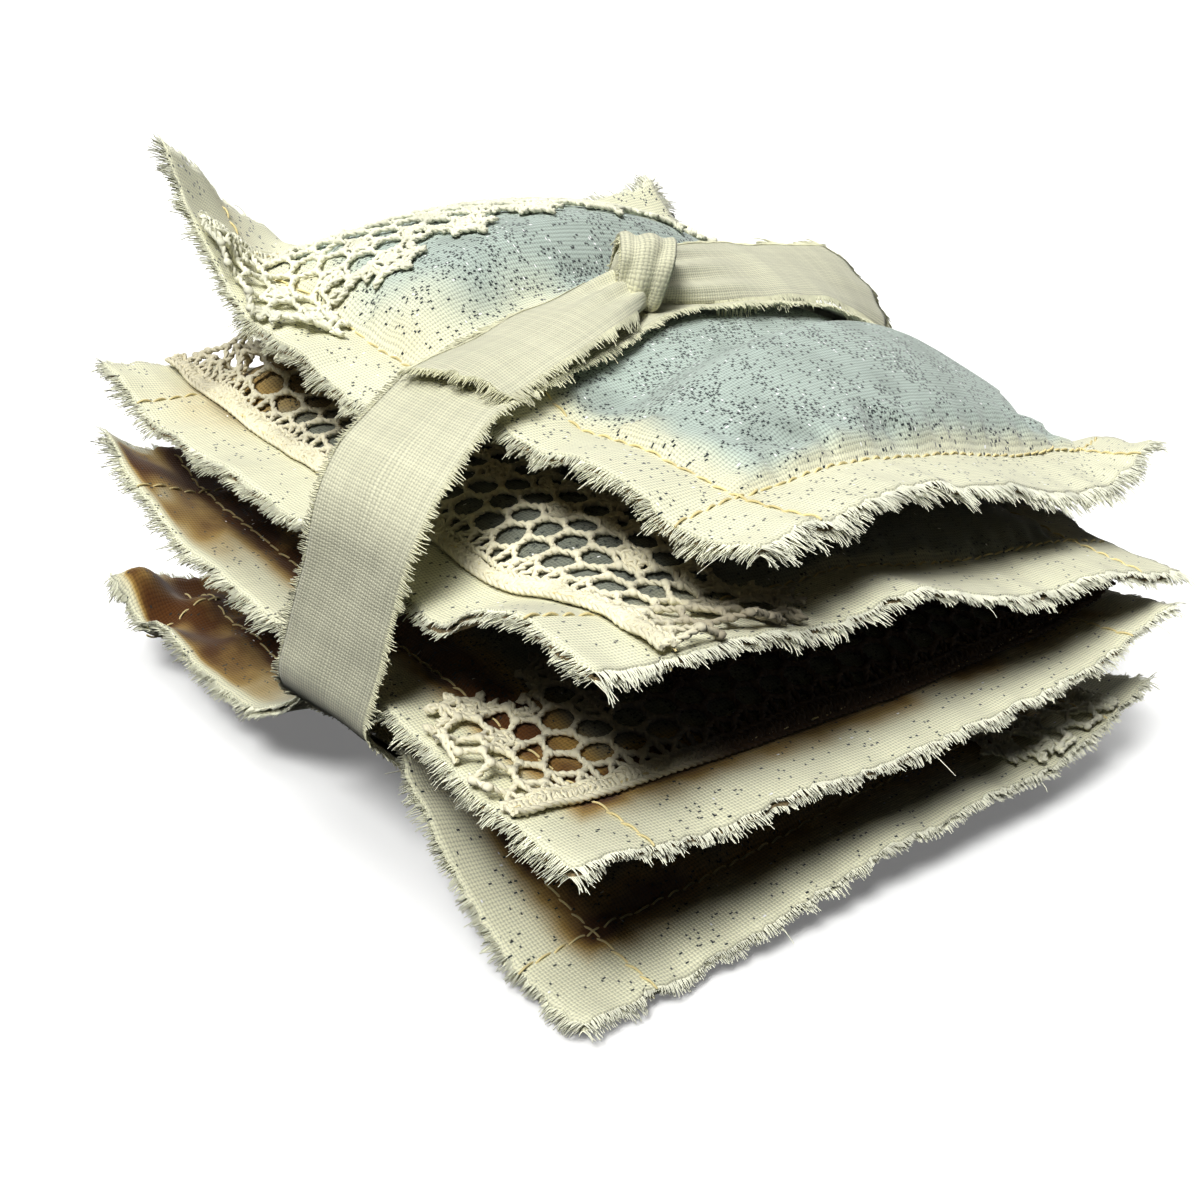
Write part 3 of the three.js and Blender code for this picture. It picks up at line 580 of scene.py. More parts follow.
LINES = cloth_lines(12, 84)
FLAT_X, FLAT_Y = np.meshgrid(LINES, LINES)
OUTSIDE = smooth(from_seam(FLAT_X, FLAT_Y), -1, 3)
cloth = {}
for name in SACHETS:
    chance = np.random.default_rng(7 + len(name))
    ragged_x, ragged_y = FLAT_X.copy(), FLAT_Y.copy()
    ragged_x[:, [0, -1]] += chance.uniform(-0.4, 0.4, (len(LINES), 2))
    ragged_y[[0, -1], :] += chance.uniform(-0.4, 0.4, (2, len(LINES)))
    for face in ("front", "back"):
        cloth[name, face] = panel_shape(name, face, ragged_x, ragged_y)
print("panels:", len(cloth), "with", LINES.size ** 2, "points each")

# %% [markdown]
# The lavender pushes the cloth outward, and the sewn edge holds it. Blender's cloth does this:
# each panel is pinned along the seam and outside it, is given a little more cloth than its shape
# needs, and is blown up by pressure from within, so it buckles along the seams as a filled pillow
# does. The copies are simulated ten times as large, because the springs are made for things about
# a metre wide. How far a point may move is limited, so the stack still fits together.

# %% Puff the pillows
SIM_SCALE = 10
SIM_STEPS = 20
SINK = 1.1
SWELL = 0.9
SIDEWAYS = 0.6


def grid_faces(rows, columns, flip=False):
    faces = []
    for row in range(rows - 1):
        for column in range(columns - 1):
            a = row * columns + column
            corner = (a, a + 1, a + columns + 1, a + columns)
            faces.append(corner[::-1] if flip else corner)
    return faces


def cloth_copy(key, points):
    mesh = bpy.data.meshes.new("puff")
    faces = grid_faces(*points.shape[:2], key[1] == "back")
    mesh.from_pydata(points.reshape(-1, 3) * MM * SIM_SCALE, [], faces)
    copy = bpy.data.objects.new("puff_" + "_".join(key), mesh)
    scene.collection.objects.link(copy)
    inside = (from_seam(FLAT_X, FLAT_Y)[::2, ::2] < -0.5).ravel()
    held = copy.vertex_groups.new(name="held")
    held.add([int(k) for k in np.flatnonzero(~inside)], 1.0, "REPLACE")
    blown = copy.vertex_groups.new(name="blown")
    blown.add([int(k) for k in np.flatnonzero(inside)], 1.0, "REPLACE")
    settings = copy.modifiers.new("puff", "CLOTH").settings
    settings.quality = 5
    settings.mass = 0.2
    settings.tension_stiffness = settings.compression_stiffness = 20
    settings.shear_stiffness = 8
    settings.bending_stiffness = 0.05
    settings.shrink_min = -0.05
    settings.vertex_group_mass = "held"
    settings.use_pressure = True
    settings.uniform_pressure_force = 4
    settings.vertex_group_pressure = "blown"
    settings.effector_weights.gravity = 0
    return copy


def twice_as_fine(values):
    for axis in (0, 1):
        values = np.swapaxes(values, 0, axis)
        finer = np.zeros((2 * len(values) - 1,) + values.shape[1:])
        finer[::2] = values
        finer[1::2] = (values[1:] + values[:-1]) / 2
        values = np.swapaxes(finer, 0, axis)
    return values


copies = {key: cloth_copy(key, points[::2, ::2]) for key, points in cloth.items()}
for step in range(1, SIM_STEPS + 1):
    scene.frame_set(step)
graph = bpy.context.evaluated_depsgraph_get()
for key, copy in copies.items():
    shape = copy.evaluated_get(graph).data
    points = np.zeros(len(shape.vertices) * 3)
    shape.vertices.foreach_get("co", points)
    start = cloth[key][::2, ::2]
    moved = points.reshape(start.shape) / MM / SIM_SCALE - start
    side = 1 if key[1] == "front" else -1
    room = np.zeros(start.shape[:2])
    if key == ("top", "front"):
        room += SWELL * beside_tie(start[..., 1], tie_top_y(start[..., 0]), 6)
    rise = np.clip(moved[..., 2] * side, -SINK, room) * side
    cloth[key][..., 2] += twice_as_fine(rise)
    cloth[key][..., :2] += twice_as_fine(np.clip(moved[..., :2], -SIDEWAYS, SIDEWAYS))
    print("puffed", *key, "by", round(float(abs(rise).max()), 2), "mm at most")
for copy in copies.values():
    bpy.data.meshes.remove(copy.data)
scene.frame_set(1)

# %% [markdown]
# The sachets rest on each other and are held by the tie. Rays cast straight down and up between
# neighbours find where cloth would pass through cloth, and both give way there. Under the lace of
# a sachet there is more room. Then whatever stands outside the tie's taut loop is pressed inward.

# %% Settle the stack
LACE_WIDTH = 24.0
LACE_ROOM = 1.7
CLOTH_GAP = 0.35
RAY_START = 60
TIE_ROOM = 1.15
# The course of the tie in the X-Z plane, anticlockwise as seen from the front. About half of its
# corners repeat those of the CAD tie, to a tenth of a millimetre. The others were moved: out
# over both shoulders, where cloth bends more roundly than the solid, and in at the lower left.
LOOP = np.array([
    (-61.6, 22.4), (-50, 12.5), (-37.3, 2.3), (-31.7, 1.3), (-22.3, 0), (22.6, 0), (30.5, 2),
    (37.6, 3.9), (58.7, 11.3), (67.3, 39), (67.6, 41.5), (65.8, 45.2), (48.3, 56.2), (32.7, 61.2),
    (17.9, 63.5), (3.1, 64), (-11.5, 63.2), (-45, 59.8), (-58.5, 53), (-61.2, 48), (-62.2, 24.1),
])
UNDERSIDE = 5
OVER_TOP = slice(11, 19)


def under_lace(name, x, y):
    side = SACHETS[name]["lace"]
    out = {"left": -x, "right": x, "front": -y, "back": y}[side]
    return (out < SEAM + 2) & (out > SEAM - LACE_WIDTH - 1)


def tree_of(points):
    return BVHTree.FromPolygons(points.reshape(-1, 3).tolist(), grid_faces(*points.shape[:2]))


def too_close(points, other, way, cover):
    tree = tree_of(other)
    cells = len(other) - 1
    found = np.zeros(points.shape[:2])
    for row, column in np.ndindex(found.shape):
        x, y, z = points[row, column]
        place, normal, index, distance = tree.ray_cast((x, y, z - RAY_START * way), (0, 0, way))
        if place is None:
            continue
        room = CLOTH_GAP + LACE_ROOM * cover[index // cells, index % cells]
        found[row, column] = max(0, (place.z - z) * -way + room)
    return found


def evened(values):
    for axis in (0, 1):
        padded = np.concatenate([values.take([0], axis), values, values.take([-1], axis)], axis)
        count = values.shape[axis]
        shares = enumerate((0.25, 0.5, 0.25))
        values = sum(w * padded.take(range(k, k + count), axis) for k, w in shares)
    return values


def settle(lower, upper, share):
    lace = under_lace(lower, FLAT_X, FLAT_Y)
    plain = np.zeros_like(lace)
    up = too_close(cloth[upper, "back"], cloth[lower, "front"], -1, lace)
    down = too_close(cloth[lower, "front"], cloth[upper, "back"], 1, plain)
    worst = max(up.max(), down.max())
    gives_way = ((up, upper, "back", "front", 1), (down, lower, "front", "back", -1))
    for moved, name, face, other, way in gives_way:
        change = np.maximum(evened(evened(moved)), moved) * share * way
        cloth[name, face][..., 2] += change
        cloth[name, other][..., 2] += change * OUTSIDE
    return worst


stack = list(SACHETS)
for share in (0.5, 0.55, 0.6, 0.7):
    print("closest", [round(float(settle(low, high, share)), 2) for low, high in zip(stack, stack[1:])])


def loop_push(points, room):
    step = np.roll(LOOP, -1, 0) - LOOP
    normal = np.stack([step[:, 1], -step[:, 0]], 1) / np.linalg.norm(step, axis=1)[:, None]
    flat = points[..., [0, 2]]
    beyond = np.einsum("...kd,kd->...k", flat[..., None, :] - LOOP, normal) + room
    worst = beyond.argmax(-1)
    depth = np.take_along_axis(beyond, worst[..., None], -1)[..., 0]
    in_tie = 1 - smooth(abs(points[..., 1] - tie_y(points[..., 0], points[..., 2])), 9.5, 13)
    return normal[worst] * (np.clip(depth, 0, None) * in_tie)[..., None]


def band_height(x):
    top = LOOP[OVER_TOP][::-1]
    return np.interp(x, top[:, 0], top[:, 1])


top_x, top_y, top_z = np.moveaxis(cloth["top", "front"], -1, 0)
under_tie = 1 - smooth(abs(top_y - tie_top_y(top_x)), 5, 16)
rise = under_tie * np.clip(band_height(top_x) - 1.2 - top_z, 0, 6)
cloth["top", "front"][..., 2] += rise
cloth["top", "back"][..., 2] += rise * OUTSIDE
for key, points in cloth.items():
    push = loop_push(points, TIE_ROOM)
    points[..., [0, 2]] -= push
    print("tie presses", *key, round(float(np.linalg.norm(push, axis=-1).max()), 2), "mm")

# %% [markdown]
# Each panel becomes a mesh with its own map, on which the weave is drawn, and with two painted
# values: how much lavender is behind each point, and how much it turns ochre and brown there, for
# yellowing and as painted shade.
# A Solidify modifier gives it the half millimetre of the cotton.

# %% Sew the panels
def plain_mesh(piece):
    graph = bpy.context.evaluated_depsgraph_get()
    made = bpy.data.meshes.new_from_object(piece.evaluated_get(graph))
    made.name = piece.name
    piece.modifiers.clear()
    piece.data = made
    return piece


def cloth_piece(name, points, flat, material, flip=False, painted=None):
    mesh = bpy.data.meshes.new(name)
    mesh.from_pydata(points.reshape(-1, 3) * MM, [], grid_faces(*points.shape[:2], flip))
    corners = np.zeros(len(mesh.loops), np.int32)
    mesh.loops.foreach_get("vertex_index", corners)
    uv = mesh.uv_layers.new(name="cloth")
    uv.data.foreach_set("uv", (flat.reshape(-1, 2) / CUT_SIDE)[corners].astype(np.float32).ravel())
    for label, values in (painted or {}).items():
        data = mesh.attributes.new(label, "FLOAT", "POINT").data
        data.foreach_set("value", values.astype(np.float32).ravel())
    mesh.materials.append(material)
    mesh.polygons.foreach_set("use_smooth", [True] * len(mesh.polygons))
    piece = bpy.data.objects.new(name, mesh)
    scene.collection.objects.link(piece)
    weld = piece.modifiers.new("closed_seams", "WELD")
    weld.merge_threshold = 0.001 * MM
    wall = piece.modifiers.new("cotton", "SOLIDIFY")
    wall.thickness = COTTON * MM
    wall.offset = -1
    return plain_mesh(piece)


def lavender_share(name, seed):
    """How much lavender lies behind each point of a panel."""
    sachet = SACHETS[name]
    pale = 1 - sachet["pale"] * smooth(FLAT_Y, -14, -2)
    steep = 2 if name == "top" else 1
    from_sides = [steep * (SEAM - FLAT_X), pale * (SEAM + FLAT_X), steep * (SEAM - abs(FLAT_Y))]
    inward = np.minimum.reduce(from_sides)
    fill = smooth(inward + 1.2 * soft_waves(FLAT_X, FLAT_Y, 26, seed + 9), -2, sachet["clear"])
    if name == "top":
        x, y = in_bundle(sachet, FLAT_X, FLAT_Y)
        behind_tie = np.exp(-((y - tie_top_y(x) - 10) / 8) ** 2) * smooth(-x, -4, 14)
        fill = fill * (1 - 0.85 * behind_tie)
    return fill


def stain_and_shade_share(name, seed):
    """Yellowing and painted shade on a panel: along the seams and at the far left corner."""
    sachet = SACHETS[name]
    out = from_seam(FLAT_X, FLAT_Y)
    beside_seam = np.exp(-((out - 0.5) / 3.5) ** 2)
    left = np.exp(-((FLAT_X + SEAM - 1) / np.where(FLAT_X < 1 - SEAM, 4, 5)) ** 2)
    left = left * smooth(FLAT_Y, -SEAM - 4, -SEAM)
    near = np.exp(-((FLAT_Y + SEAM - 1) / np.where(FLAT_Y < 1 - SEAM, 3.4, 4)) ** 2)
    near = near * smooth(FLAT_X, -SEAM - 3, -SEAM) * smooth(-FLAT_X, SEAM - 28, SEAM - 8)
    corner = np.exp(-(np.hypot(FLAT_X + SEAM + 4, FLAT_Y - SEAM - 3) / sachet["brown"]) ** 2)
    corner = corner * smooth(HALF - FRAY - SEAM - out, 0.3, 2.2)
    wide_mottle = 0.3 * soft_waves(FLAT_X, FLAT_Y, 16, seed + 8)
    mottle = wide_mottle + 0.15 * soft_waves(FLAT_X, FLAT_Y, 6, seed + 7)
    patches = np.maximum(corner, 0.5 * beside_seam) * np.clip(0.9 + mottle, 0.2, 1.1)
    # Painted shade and yellowing: along the left and near seams, in patches and at the far left corner.
    stain_and_shade = sachet["stain_and_shade"] * np.maximum.reduce([left, near, patches])
    if name == "second":
        stain_and_shade = np.maximum(stain_and_shade, 0.8 * lace_lump(FLAT_X, FLAT_Y) ** 0.5)
    return stain_and_shade


panels = {}
for (name, face), points in cloth.items():
    seed = 20 * stack.index(name)
    shares = {"fill": lavender_share(name, seed), "stain_and_shade": stain_and_shade_share(name, seed)}
    flat = np.stack([FLAT_X + HALF, FLAT_Y + HALF], -1)
    # Undersides and the lower sachets get darker cotton: painted shade where they lie in the gaps.
    woven = underside_shade_cotton if face == "back" and name != "bottom" else shaded_stack_cotton
    if name == "top" and face == "front":
        woven = sachet_cotton
    label = f"{name}_{face}_cloth"
    panels[name, face] = cloth_piece(label, points, flat, woven, face == "back", shares)
print("sewn:", ", ".join(piece.name for piece in panels.values()))

# %% [markdown]
# What repeats by the thousand is a task for Geometry Nodes: loose threads, stitches, the yarn of the
# lace and the lavender. The script gives their places as points, with named values for ways and
# lengths, and a tree with named inputs puts a thread or a stitch on each point. Every tree ends by
# making its copies real and setting the material, and the result is kept as a plain mesh.

# %% Geometry Nodes helpers
def new_tree(name, inputs):
    tree = bpy.data.node_groups.new(name, "GeometryNodeTree")
    tree.interface.new_socket("Geometry", in_out="INPUT", socket_type="NodeSocketGeometry")
    tree.interface.new_socket("Material", in_out="INPUT", socket_type="NodeSocketMaterial")
    for label, value in inputs.items():
        kind = "NodeSocketInt" if isinstance(value, int) else "NodeSocketFloat"
        tree.interface.new_socket(label, in_out="INPUT", socket_type=kind).default_value = value
    tree.interface.new_socket("Geometry", in_out="OUTPUT", socket_type="NodeSocketGeometry")
    return tree, tree.nodes.new("NodeGroupInput").outputs


def named(tree, name, kind):
    return node(tree, "GeometryNodeInputNamedAttribute", {0: name}, data_type=kind).outputs[0]


def drawn(tree, low, high, seed):
    return node(tree, "FunctionNodeRandomValue", {2: low, 3: high, 8: seed}, data_type="FLOAT").outputs[1]


def vector(tree, x=0.0, y=0.0, z=0.0):
    return node(tree, "ShaderNodeCombineXYZ", {0: x, 1: y, 2: z}).outputs[0]


def facing(tree, first, first_axis, second, second_axis):
    """A turn that points one axis along the first way and another towards the second."""
    axes = {"primary_axis": first_axis, "secondary_axis": second_axis}
    return node(tree, "FunctionNodeAxesToRotation", {0: first, 1: second}, **axes).outputs[0]


def swayed(tree, turn, x=0.0, y=0.0, z=0.0):
    sway = node(tree, "FunctionNodeEulerToRotation", {0: vector(tree, x, y, z)}).outputs[0]
    return node(tree, "FunctionNodeRotateRotation", {0: turn, 1: sway}, rotation_space="LOCAL").outputs[0]


def yarn_section(tree, sides, thickness):
    radius = calc(tree, "MULTIPLY", thickness, 0.5)
    return node(tree, "GeometryNodeCurvePrimitiveCircle", {0: sides, 4: radius}).outputs[0]


def places_of(tree, given):
    return node(tree, "GeometryNodeMeshToPoints", {0: given["Geometry"]}).outputs[0]


def end_tree(tree, given, shape):
    flat = node(tree, "GeometryNodeRealizeInstances", {0: shape}).outputs[0]
    soft = node(tree, "GeometryNodeSetShadeSmooth", {0: flat}).outputs[0]
    dyed = node(tree, "GeometryNodeSetMaterial", {0: soft, 2: given["Material"]}).outputs[0]
    node(tree, "NodeGroupOutput", {0: dyed})
    return tree


def on_floor(mesh):
    """Threads that would reach below the floor lie on it."""
    points = np.zeros(len(mesh.vertices) * 3, np.float32)
    mesh.vertices.foreach_get("co", points)
    points[2::3] = np.maximum(points[2::3], 0.05 * MM)
    mesh.vertices.foreach_set("co", points)
    mesh.update()


def grow(name, points, edges, values, tree, material, settings=None):
    mesh = bpy.data.meshes.new(name)
    mesh.from_pydata(np.asarray(points) * MM, edges, [])
    for label, data in values.items():
        data = np.asarray(data, np.float32)
        if data.ndim == 2:
            made = mesh.attributes.new(label, "FLOAT_VECTOR", "POINT")
            made.data.foreach_set("vector", data.ravel())
        else:
            made = mesh.attributes.new(label, "FLOAT", "POINT")
            made.data.foreach_set("value", data)
    piece = bpy.data.objects.new(name, mesh)
    scene.collection.objects.link(piece)
    modifier = piece.modifiers.new("grow", "NODES")
    modifier.node_group = tree
    wanted = {"Material": material, **(settings or {})}
    for item in tree.interface.items_tree:
        if item.in_out == "INPUT" and item.name in wanted:
            modifier[item.identifier] = wanted[item.name]
    piece = plain_mesh(piece)
    on_floor(piece.data)
    print(name, "has", len(piece.data.polygons), "faces")
    return piece


print("helpers for Geometry Nodes are ready")

# %% [markdown]
# The cloth was torn, not hemmed, so every edge ends in loose threads. Each point along an edge has
# the way out of the cloth, the way up and a length, and the tree puts a bent thread on it. Four
# bends are picked at random with a fixed seed, so each run gives the same fringe. The threads lean
# together in tufts and a few are left long, because an even fringe would look like a brush.

# %% Loose threads
UP = np.array([0, 0, 1.0])
TUFT = 1.3
ROOT = 0.4
DROOP = 0.15
BENDS = [((0.5, 0.02, 0.04), (1.0, -0.03, -0.14)), ((0.5, -0.04, 0.02), (0.98, 0.03, -0.22)),
         ((0.45, 0.03, 0.03), (1.0, 0.08, -0.06)), ((0.6, 0.02, 0.08), (0.95, -0.10, -0.18))]


def fringe_tree():
    tree, given = new_tree("loose_threads", {"Thickness": 0.0002, "Spread": 0.06, "Seed": 1})
    bends = node(tree, "GeometryNodeGeometryToInstance")
    for middle_point, end_point in BENDS:
        links = {0: 4, 1: (0, 0, 0), 2: middle_point, 3: end_point}
        bend = node(tree, "GeometryNodeCurveQuadraticBezier", links)
        tree.links.new(bend.outputs[0], bends.inputs[0])
    out = named(tree, "out", "FLOAT_VECTOR")
    turn = facing(tree, out, "X", named(tree, "up", "FLOAT_VECTOR"), "Z")
    lean = [calc(tree, "MULTIPLY", drawn(tree, -1.0, 1.0, k), given["Spread"]) for k in (11, 12)]
    turn = swayed(tree, turn, drawn(tree, -0.5, 0.5, 13), lean[0], lean[1])
    links = {4: 0, 5: len(BENDS) - 1, 8: given["Seed"]}
    pick = node(tree, "FunctionNodeRandomValue", links, data_type="INT").outputs[2]
    reach = calc(tree, "MULTIPLY", named(tree, "reach", "FLOAT"), drawn(tree, 0.7, 1.15, 14))
    size = vector(tree, reach, reach, reach)
    links = {0: places_of(tree, given), 2: bends.outputs[0], 3: True, 4: pick, 5: turn, 6: size}
    threads = node(tree, "GeometryNodeInstanceOnPoints", links).outputs[0]
    threads = node(tree, "GeometryNodeRealizeInstances", {0: threads}).outputs[0]
    along = node(tree, "GeometryNodeSplineParameter").outputs[0]
    thin = between(tree, along, 0.3, 1.0, 1.0, 0.6)
    links = {0: threads, 1: yarn_section(tree, 3, given["Thickness"]), 2: thin}
    tubes = node(tree, "GeometryNodeCurveToMesh", links).outputs[0]
    return end_tree(tree, given, tubes)


loose_threads = fringe_tree()


def unit(vectors):
    return vectors / np.maximum(np.linalg.norm(vectors, axis=-1, keepdims=True), 1e-9)


def edge_points(edge, inner, up_side, spacing, reach, seed):
    """Thread roots along one edge of a cloth: places, ways out, ways up and lengths."""
    steps = np.linalg.norm(np.diff(edge, axis=0), axis=1)
    along = np.concatenate([[0], np.cumsum(steps)])
    chance = np.random.default_rng(seed)
    at = np.arange(0, along[-1], spacing)
    at = np.clip(at + chance.uniform(-0.4, 0.4, len(at)) * spacing, 0, along[-1])

    def follow(values):
        return np.stack([np.interp(at, along, values[:, k]) for k in range(3)], 1)

    def waves(size, step):
        return soft_waves(at, 0 * at, size, seed + step)

    out = unit(follow(edge - inner))
    tangent = unit(np.gradient(follow(edge), axis=0))
    up = unit(np.cross(out, tangent))
    up = up * np.sign((up * up_side).sum(1, keepdims=True) + 1e-6)
    tufts = 1 + 0.3 * waves(6, 0) + 0.12 * waves(1.6, 1)
    from_end = np.minimum(at, along[-1] - at)
    tufts = np.clip(tufts, 0.4, 1.6) * (1 + 0.3 * np.exp(-(from_end / 5) ** 2))
    tip = np.floor((at + 0.6 * waves(9, 3)) / TUFT + 0.5) * TUFT
    lean = np.clip(0.35 * (tip - at) / reach, -0.2, 0.2) + 0.12 * waves(12, 2)
    lift = 0.08 * waves(3, 4)
    out = unit(out + tangent * lean[:, None] + up * lift[:, None] - DROOP * UP)
    long = np.where(chance.random(len(at)) < 0.004, chance.uniform(1.6, 2.4, len(at)), 1.0)
    return follow(edge) - ROOT * out, out, up, reach * tufts * long


def fringe(name, edges, material, spacing, reach, seed, thickness=0.2):
    reaches = np.broadcast_to(reach, len(edges))
    rows = []
    for k, (edge, inner, up) in enumerate(edges):
        rows.append(edge_points(edge, inner, up, spacing, reaches[k], seed + 5 * k))
    place, out, up, length = (np.concatenate(parts) for parts in zip(*rows))
    values = {"out": out, "up": up, "reach": length * MM}
    settings = {"Thickness": thickness * MM, "Seed": seed}
    return grow(name, place, [], values, loose_threads, material, settings)


fringes = {}
for (name, face), points in cloth.items():
    side = 1 if face == "front" else -1
    layer = points - side * COTTON / 2 * UP
    rim = []
    for rows in (layer, np.swapaxes(layer, 0, 1)):
        rim += [(rows[0], rows[3], UP), (rows[-1], rows[-4], UP)]
    seed = 100 + 40 * stack.index(name) + (20 if face == "back" else 0)
    label = f"{name}_{face}_fringe"
    fringes[name, face] = fringe(label, rim, loose_yarn, 0.2, SACHETS[name]["fray"], seed)

# %% [markdown]
# The two panels are sewn with four straight seams that cross at the corners and run out to the
# raw edge. Each stitch is a short thread that dips into the cloth at both ends. A second tree
# sets one stitch on each point of a row, and turns it a little, as a sewing machine does.

# %% Stitches
STITCH = 2.5
DIP = 0.22
ARCH = 0.5
OVER_CLOTH = 0.12
OVER_LACE = 1.0


def stitch_tree():
    tree, given = new_tree("stitches", {"Length": 0.0023, "Thickness": 0.0003, "Seed": 3})
    half = calc(tree, "MULTIPLY", given["Length"], 0.5)
    start = vector(tree, calc(tree, "MULTIPLY", half, -1.0), 0.0, -DIP * MM)
    end = vector(tree, half, 0.0, -DIP * MM)
    links = {0: 7, 1: start, 2: (0.0, 0.0, ARCH * MM), 3: end}
    arc = node(tree, "GeometryNodeCurveQuadraticBezier", links).outputs[0]
    links = {0: arc, 1: yarn_section(tree, 6, given["Thickness"]), 3: True}
    stitch = node(tree, "GeometryNodeCurveToMesh", links).outputs[0]
    along = named(tree, "along", "FLOAT_VECTOR")
    turn = facing(tree, along, "X", named(tree, "up", "FLOAT_VECTOR"), "Z")
    turn = swayed(tree, turn, z=drawn(tree, 0.02, 0.24, 5))
    size = vector(tree, drawn(tree, 0.85, 1.12, given["Seed"]), 1.0, 1.0)
    links = {0: places_of(tree, given), 2: stitch, 5: turn, 6: size}
    row = node(tree, "GeometryNodeInstanceOnPoints", links).outputs[0]
    return end_tree(tree, given, row)


stitches = stitch_tree()


def on_cloth(points, x, y):
    """The place on a panel over flat cloth coordinates, and the way out of the cloth there."""
    column = np.interp(x, LINES, np.arange(len(LINES)))
    row = np.interp(y, LINES, np.arange(len(LINES)))
    j = np.clip(column.astype(int), 0, len(LINES) - 2)
    i = np.clip(row.astype(int), 0, len(LINES) - 2)
    s, t = (column - j)[:, None], (row - i)[:, None]
    a, b, c, d = points[i, j], points[i, j + 1], points[i + 1, j], points[i + 1, j + 1]
    place = a * (1 - s) * (1 - t) + b * s * (1 - t) + c * (1 - s) * t + d * s * t
    return place, unit(np.cross(b - a + d - c, c - a + d - b))


def seam_rows(points, side, lace_side):
    """Stitch centres on one face of a sachet, in the order left, right, front, back."""
    at = np.arange(-HALF + FRAY + 1, HALF - FRAY - 0.8, STITCH)
    places, runs, ups = [], [], []
    for label, sign in (("left", -1), ("right", 1), ("front", -1), ("back", 1)):
        drift = 0.35 * np.sin(at / 17 + sign)
        line = np.full_like(at, sign * SEAM) + drift
        x, y = (line, at) if label in ("left", "right") else (at, line)
        place, up = on_cloth(points, x, y)
        up = up * side
        over = OVER_LACE if label == lace_side else OVER_CLOTH
        places.append(place + up * over)
        runs.append(unit(np.gradient(place, axis=0)))
        ups.append(up)
    return [np.concatenate(part) for part in (places, runs, ups)]


seams = {}
for (name, face), points in cloth.items():
    side = 1 if face == "front" else -1
    lace_side = SACHETS[name]["lace"] if face == "front" else None
    place, run, up = seam_rows(points, side, lace_side)
    label = f"{name}_{'needle' if face == 'front' else 'bobbin'}_stitches"
    seams[name, face] = grow(label, place, [], {"along": run, "up": up}, stitches, seam_yarn)

# %% [markdown]
# Each sachet carries a strip of crochet lace: a braided heading along the seam, a row of small
# triangular holes, a net of rounded six-sided holes with woven spiders in it, and pointed scallops
# with picots. A flat strip with a pattern of holes would be lighter, but lace is seen from close by
# here, and its threads throw shadows on the cloth. So it is drawn as points and the bars between
# them, first flat, and repeated along the strip.

# %% Draw the lace
LACE_LENGTH = 111.0
MESHES = 24
PITCH = LACE_LENGTH / MESHES
ROW = 3.6
NET_START = 4.9
CORD_AT = 2.7
RIM_OUT = 0.95


class Net:
    """Points (along, inward, lift) of the flat lace, the bars between them, and the knots."""

    def __init__(self):
        self.points = []
        self.found = {}
        self.bars = set()
        self.knots = set()

    def point(self, along, inward, lift=0.0):
        key = (round(along, 2), round(inward, 2), round(lift, 2))
        if key not in self.found:
            self.found[key] = len(self.points)
            self.points.append((along, inward, lift))
        return self.found[key]

    def bar(self, first, second):
        self.bars.add((min(first, second), max(first, second)))

    def line(self, rows):
        made = [self.point(*row) for row in rows]
        for first, second in zip(made, made[1:]):
            self.bar(first, second)
        return made


def lace_meshes():
    found = []
    for row in range(5):
        for k in range(MESHES):
            along = (k + 0.5 + 0.5 * (row % 2)) * PITCH
            from_tip = abs((along / PITCH) % 3 - 1.5)
            if along > LACE_LENGTH - 0.4 * PITCH or from_tip > {3: 0.6, 4: 0.1}.get(row, 9):
                continue
            found.append((along, NET_START + (row + 0.5) * ROW, row, from_tip))
    return found


def picot(net, along, inward, a, b):
    """A small loop on the rim: two threads that meet in a point."""
    loop = [(along - 0.5 * b, inward + 0.5 * a), (along + a * 1.1, inward + b * 1.1)]
    net.line([(along, inward)] + [(p + 0.3 * a, q + 0.3 * b) for p, q in loop])
    other_side = (along + 0.5 * b + 0.3 * a, inward - 0.5 * a + 0.3 * b)
    net.line([(along, inward), other_side, (along + a * 1.4, inward + b * 1.4)])


def scalloped_rim(net, used, around):
    """A second thread outside the scallops, with picots on its points."""
    rim = {}
    for corner, centres in around.items():
        along, inward, lift = net.points[corner]
        way = unit(np.array([along, inward]) - np.mean(centres, 0))
        rim[corner] = (along + RIM_OUT * way[0], inward + RIM_OUT * way[1], way)
    for (first, second), count in list(used.items()):
        innermost = min(net.points[first][1], net.points[second][1])
        if count == 1 and innermost > NET_START + 2.1 * ROW:
            net.bar(net.point(*rim[first][:2]), net.point(*rim[second][:2]))
            for corner in (first, second):
                along, inward, (a, b) = rim[corner]
                if b >= 0.3:
                    picot(net, along, inward, a, b)


